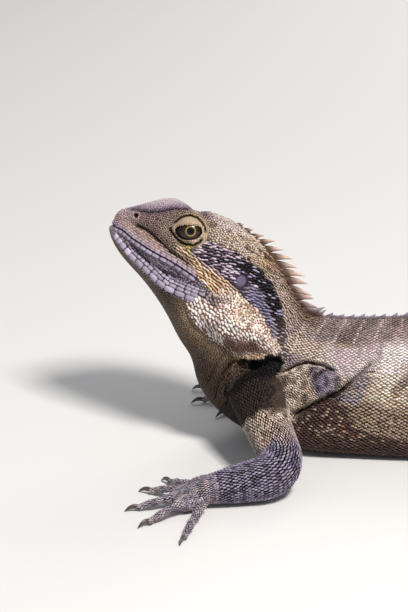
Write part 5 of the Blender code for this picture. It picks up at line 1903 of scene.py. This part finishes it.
def eye_piece(side_name, material):
    """One eye: a ball with a low cornea, its pupil, gold ring and dark iris painted round its axis."""
    side = SIDES[side_name]
    middle = eye_middle(side)
    way = eye_way(side)
    points, faces = ball_parts(np.zeros(3), 1.0, 96, 64)
    side_way = unit(np.cross(way, (0, 0, 1)))
    frame_axes = np.stack([side_way, np.cross(way, side_way), way])
    turned = points @ frame_axes
    angle = np.arccos(np.clip(points[:, 2], -1, 1))
    around = np.arctan2(points[:, 1], points[:, 0])
    radius = EYE_RADIUS * (0.985 + 0.03 * ease((0.75 - angle) / 0.5))
    streak = 0.5 + 0.5 * np.sin(around * 23 + 3 * np.sin(around * 5))
    colours = mixed(srgb(22, 14, 10), srgb(58, 37, 24), streak * ease((0.9 - angle) / 0.4) * 0.6)
    colours = mixed(colours, srgb(9, 6, 5), ease((angle - 0.62) / 0.22))
    colours = mixed(colours, srgb(168, 136, 62), ease((0.355 - angle) / 0.04))
    colours = mixed(colours, srgb(30, 20, 12), ease((0.295 - angle) / 0.03))
    colours = mixed(colours, srgb(2, 3, 7), ease((0.26 - angle) / 0.02))
    mesh = mesh_of(f"eye_{side_name}_look", middle + turned * radius[:, None], outward(turned, faces))
    smooth_shading(mesh)
    put_colours(mesh, colours)
    mesh.materials.append(material)
    return new_object(f"eye_{side_name}_look", mesh)


def lid_rims(skin, material, side_name):
    """A row of small scales along the rim of the lids."""
    side = SIDES[side_name]
    middle = eye_middle(side)
    rims = []
    count = int(2 * math.pi * LID_RIM_RADIUS / LID_SCALE)
    for angle in 2 * math.pi * np.arange(count) / count:
        spots = [lid_point(middle, side, angle + step, 0.3, LID_INSIDE) for step in (-0.04, 0, 0.04)]
        if any(spot is None for spot in spots):
            continue
        root = np.array(skin.tree.find_nearest(Vector(spots[1]))[0])
        upper = math.sin(angle) > 0.35
        rims.append((root, spots[2] - spots[0], srgb(150, 128, 100) if upper else srgb(222, 206, 186)))
    roots, lie, tops = (np.array(values) for values in zip(*rims))
    sizes = np.tile((0.62 * LID_SCALE, 0.52 * LID_SCALE, 0.3), (len(roots), 1))
    at = skin.surface.places(roots)
    name, outwards, gaps = f"lid_rims_{side_name}", roots - middle, tops * 0.45
    return scale_piece(name, BEAD, roots, at, outwards, lie, sizes, tops, gaps, material)


def lid_point(middle, side, angle, grow, radius):
    """Where a point of the lids' opening lies on a ball round the eye, or None."""
    back, up = opening_point(angle, grow)
    far = head_point(back, side * FAR_OUT, up)
    way = unit(head_point(back, 0, up) - far)
    offset = far - middle
    closest = offset - (offset @ way) * way
    depth = radius**2 - closest @ closest
    return None if depth < 0 else middle + closest - way * math.sqrt(depth)


def opening_point(angle, grow=0.0):
    """Distance back and up of a point of the almond between the lids, drawn outwards by a distance."""
    length, over, under = LID_OPENING
    along = LID_SHIFT + (length + grow) * math.cos(angle)
    if math.sin(angle) > 0:
        across = (over + grow) * math.sin(angle) ** 0.6
    else:
        across = (under + grow) * math.sin(angle)
    cos, sin = math.cos(LID_TILT), math.sin(LID_TILT)
    return EYE_BACK + along * cos - across * sin, EYE_UP + along * sin + across * cos


def open_lids(skin):
    """Cuts the almond of each eye and the socket behind it out of the skin."""
    group = bpy.data.collections.new("cutters")
    bpy.context.scene.collection.children.link(group)
    almond = [opening_point(angle) for angle in np.linspace(0, 2 * math.pi, 64, endpoint=False)]
    for side in SIDES.values():
        rings = [
            [head_point(back, side * out, up) for back, up in almond] for out in (EYE_OUT + 1.5, EYE_OUT + 14)
        ]
        socket = ball_parts(eye_middle(side), EYE_RADIUS + 0.12)
        opening = tube_mesh_parts([Tube("opening", "opening", side, np.array(rings))])
        for name, parts in (("socket", socket), ("opening", opening)):
            group.objects.link(bpy.data.objects.new(name, mesh_of(name, *joined([parts]))))
    cut = skin.modifiers.new("lids", "BOOLEAN")
    cut.operation, cut.solver = "DIFFERENCE", "MANIFOLD"
    cut.operand_type, cut.collection = "COLLECTION", group
    evaluated(skin)
    for other in list(group.objects):
        bpy.data.objects.remove(other)
    bpy.data.collections.remove(group)


# A claw's line, as distance out and height, and its half width there before its thickness is applied.
CLAW_HOOK = ((-1.2, 1.35), (-0.2, 1.75), (0.9, 1.85), (2.0, 1.6), (3.0, 1.05), (3.7, 0.5), (4.1, 0.14))
CLAW_WIDTHS = (0.8, 1.05, 1.0, 0.8, 0.55, 0.3, 0.09)


def claws_piece(claws, material):
    """All claws, each hooked down to the floor."""
    parts = []
    width = np.array(CLAW_WIDTHS) * CLAW_THICKNESS
    for root, way in claws:
        path = np.array([root + way * out + np.array([0, 0, height]) for out, height in CLAW_HOOK])
        path, size = resampled(path, width, 24)
        grid = tube_rings(path, size[:, 0], size[:, 0] * 0.72, 12)
        points, faces = tube_mesh_parts([Tube("claw", "claw", 0, grid)])
        points[:, 2] = np.maximum(points[:, 2], SCALE_CLEARANCE)
        parts.append((points, faces))
    mesh = mesh_of("claws", *joined(parts))
    smooth_shading(mesh)
    mesh.materials.append(material)
    return new_object("claws", mesh)


# Crest: length of the spines of the nape at distances from the occiput, their number, length and
# spacing of those behind, how far all lean back, and half widths at shares of their length.
NAPE_CREST = ((-11, 1.4), (-7, 2.6), (-2, 3.8), (3, 5.2), (8, 6.2), (18, 6.6), (28, 5.8), (34, 4.6),
              (37, 3.4))
NAPE_SPINES = 15
BACK_SPINE = 2.1
BACK_SPACING = 5.2
TAIL_SPACING = 8.0
SPINE_LEAN = math.radians(28)
SPINE_SHARES = (-0.25, 0.0, 0.22, 0.45, 0.66, 0.85, 1.0)
SPINE_WIDTHS = (1.15, 1.05, 0.92, 0.76, 0.56, 0.32, 0.06)
CREST_COLOURS = {
    "crest_nape": (srgb(198, 168, 154), srgb(70, 48, 35)),
    "crest_back": (srgb(150, 140, 158), srgb(104, 92, 92)),
}


def crest_frame(body, along):
    """A point of the midline of the back with its outward direction and the direction backwards."""
    beside = 0.4
    points = body.points(np.array([along - 1, along, along + 1]), np.array([LINES - beside, 0, beside]))
    backwards = points[2, 1] - points[0, 1]
    across = points[1, 0] - points[1, 2]
    return points[1, 1], unit(np.cross(backwards, across)), unit(backwards)


def crest_spots(body):
    """Distance along the body, length and half width of each spine of the nape and of the back and tail."""
    occiput, vent = body.at("occiput"), body.at("tail 0")
    offsets = np.linspace(NAPE_CREST[0][0], NAPE_CREST[-1][0], NAPE_SPINES)
    lengths = [value(NAPE_CREST, offset) for offset in offsets]
    nape = [(occiput + offset, length, 0.9 + 0.15 * length) for offset, length in zip(offsets, lengths)]
    step = offsets[1] - offsets[0]
    nape += [(along + step / 2, 0.28 * length, 0.7) for along, length, _ in nape]
    back, along = [], nape[NAPE_SPINES - 1][0] + BACK_SPACING
    tail_end = vent + 420
    while along < tail_end:
        fading = 1 - 0.75 * max(along - vent, 0) / (tail_end - vent)
        back.append((along, BACK_SPINE * fading, 1.25 * max(fading, 0.5)))
        spacing = BACK_SPACING if along < vent else TAIL_SPACING
        for part in (0.28, 0.5, 0.72):
            back.append((along + spacing * part, 0.55 * BACK_SPINE * fading, 0.75 * max(fading, 0.6)))
        along += spacing
    return nape, back


def spine_mesh(body, along, length, half, rng):
    """One curved leaf-shaped spine: its parts, how high up it each point is, its foot and its unwrap."""
    foot, outwards, backwards = crest_frame(body, along)
    across = np.cross(outwards, backwards)
    lean = SPINE_LEAN + rng.normal() * 0.08
    way = outwards * math.cos(lean) + backwards * math.sin(lean)
    rings = []
    angles = 2 * math.pi * np.arange(10) / 10
    for share, width in zip(SPINE_SHARES, SPINE_WIDTHS):
        middle = foot + way * length * share + backwards * length * 0.34 * max(share, 0) ** 2
        rings.append(middle + np.outer(np.cos(angles), backwards) * width * half
                     + np.outer(np.sin(angles), across) * width * half * 0.45)
    points, faces = tube_mesh_parts([Tube("spine", "spine", 0, np.array(rings))])
    height = np.clip((points - foot) @ way / length, 0, 1)
    patch = np.stack([(points - foot) @ backwards, (points - foot) @ outwards], axis=1) / max(length, 1.0)
    return (points, faces), height, foot, patch


def crest_pieces(surface, material):
    """The crest of the nape and the low one of the back and tail."""
    body = surface.body
    made = []
    rng = np.random.default_rng(10)
    for name, spots in zip(("crest_nape", "crest_back"), crest_spots(body)):
        spines, colours, uvs = [], [], []
        for along, length, half in spots:
            length = length * rng.uniform(0.9, 1.1)
            spine, height, foot, patch = spine_mesh(body, along, length, half, rng)
            spines.append(spine)
            light, base = CREST_COLOURS[name]
            lower = ease((along - body.at("occiput") - 22) / 10)
            light = light * (1 - 0.75 * lower) + srgb(140, 130, 148) * 0.75 * lower
            shade = mixed(base, light, ease((height - 0.15) / 0.65))
            colours.append(shade * rng.uniform(0.82, 1.12))
            uvs.append(surface.places(foot[None]).uv() + 0.0015 * patch)
        points, faces = joined(spines)
        mesh = mesh_of(name, points, faces)
        smooth_shading(mesh)
        put_colours(mesh, np.concatenate(colours))
        put_uv(mesh, np.concatenate(uvs)[faces.ravel()])
        mesh.materials.append(material)
        made.append(new_object(name, mesh))
    return made


def finish_skin(skin, surface, material):
    """Colours and unwraps the skin, darker than the scales that stand on it, partly by painted shade."""
    mesh = skin.data
    points = coordinates(mesh)
    places = surface.places(points)
    put_colours(mesh, paint(places).gaps)
    corners = np.empty(len(mesh.loops), np.int32)
    mesh.loops.foreach_get("vertex_index", corners)
    starts = np.empty(len(mesh.polygons), np.int32)
    totals = np.empty(len(mesh.polygons), np.int32)
    mesh.polygons.foreach_get("loop_start", starts)
    mesh.polygons.foreach_get("loop_total", totals)
    face_of = np.repeat(np.arange(len(starts)), totals)
    first = corners[starts][face_of]
    uv, tube, turn = places.uv(), places.tube, places.turn
    corner_uv = uv[corners].copy()
    wraps = (tube[corners] == tube[first]) & (np.abs(turn[corners] - turn[first]) > 0.5)
    span = np.where(tube == 0, 0.48, 0.46 * 0.9 / (len(surface.tubes) - 1))[first]
    corner_uv[wraps, 1] += (np.sign(turn[first] - turn[corners]) * span)[wraps]
    other = tube[corners] != tube[first]
    corner_uv[other] = uv[first[other]] + 0.0004 * (np.arange(other.sum())[:, None] % 3 - 1) * (1, -1)
    put_uv(mesh, corner_uv)
    smooth_shading(mesh)
    mesh.materials.clear()
    mesh.materials.append(material)


CAMERA_TARGET = (-95.5, 0.0, 52.0)
CAMERA_DISTANCE = 900.0
CAMERA_ELEVATION = math.radians(20)
CAMERA_LENS = 143.1
FLOOR_HALF = 3000

# Lamps: place and target in metres, side of the square in metres, power in watts and colour.
LAMPS = {
    "key": ((0.28, -0.55, 1.0), (-0.06, 0, 0.03), 0.24, 16.0, (1.0, 0.97, 0.94)),
    "fill": ((-0.9, -0.7, 0.35), (-0.08, 0, 0.04), 0.9, 1.2, (0.88, 0.92, 1.0)),
    "back": ((0.3, 0.9, 0.6), (0, 0, 0.03), 0.6, 4.0, (1.0, 0.98, 0.95)),
}


def add_camera():
    """The camera at the photograph's viewing angle."""
    way = np.array([0, math.cos(CAMERA_ELEVATION), -math.sin(CAMERA_ELEVATION)])
    camera = bpy.data.cameras.new("camera")
    camera.sensor_width = 36.0
    camera.lens = CAMERA_LENS
    camera.clip_start = 0.01
    obj = new_object("camera", camera)
    obj.location = Vector((np.array(CAMERA_TARGET) - way * CAMERA_DISTANCE) * MM)
    obj.rotation_euler = Vector(way).to_track_quat("-Z", "Y").to_euler()
    bpy.context.scene.camera = obj


def add_light(name, place, target, size, power, colour):
    """A soft square lamp that points at a target."""
    lamp = bpy.data.lights.new(name, "AREA")
    lamp.size, lamp.energy, lamp.color = size, power, colour
    obj = new_object(name, lamp)
    obj.location = place
    obj.rotation_euler = (Vector(target) - Vector(place)).to_track_quat("-Z", "Y").to_euler()


def add_studio():
    """A pale floor, soft lamps and an even pale surrounding."""
    corners = [(FLOOR_HALF * x, FLOOR_HALF * y, 0) for x, y in ((-1, -1), (1, -1), (1, 1), (-1, 1))]
    floor_mesh = mesh_of("floor", corners, [(0, 1, 2, 3)])
    material, _, shader = new_material("floor")
    shader.inputs["Base Color"].default_value = (0.70, 0.69, 0.67, 1)
    shader.inputs["Roughness"].default_value = 0.85
    floor_mesh.materials.append(material)
    new_object("floor", floor_mesh)
    for name, lamp in LAMPS.items():
        add_light(name, *lamp)
    world = bpy.data.worlds.new("studio")
    bpy.context.scene.world = world
    world.use_nodes = True
    background = world.node_tree.nodes["Background"]
    background.inputs["Color"].default_value = (0.88, 0.92, 1.0, 1)
    background.inputs["Strength"].default_value = 0.33
    bpy.context.scene.view_settings.view_transform = "Standard"


def piece(obj, slot, nodes=()):
    """Fixes a piece to the body and hides the solids that it stands for."""
    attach(obj, "root")
    if nodes:
        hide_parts(*nodes)


def main():
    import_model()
    add_camera()
    add_studio()
    body = Body()
    tubes, claws = all_tubes(body)
    surface = Surface(body, tubes)
    skin_look, scale_look, plate_look, eye_look = (make_material(name, *look) for name, look in LOOKS.items())
    skin_obj = build_skin(surface, tubes)
    open_lids(skin_obj)
    skin = Skin(skin_obj, surface)
    finish_skin(skin_obj, surface, skin_look)
    limbs = [f"{side}_{limb}" for side in SIDES for limb in LIMBS]
    piece(skin_obj, "skin", (*FLESH, *limbs))
    plates = plate_spots(skin)
    coats = head_coat(skin, plates, scale_look) + [jaw_plates(skin, plates, plate_look)]
    coats.append(shoulder_coat(skin, scale_look))
    coats += trunk_coats(skin, scale_look) + limb_coats(skin, scale_look)
    coats += crest_pieces(surface, plate_look)
    coats += [lid_rims(skin, plate_look, side_name) for side_name in SIDES]
    for obj in coats:
        piece(obj, "skin")
    piece(claws_piece(claws, make_horn()), "limb_skin")
    for side_name in SIDES:
        piece(eye_piece(side_name, eye_look), "eye", (f"eye_{side_name}",))


main()
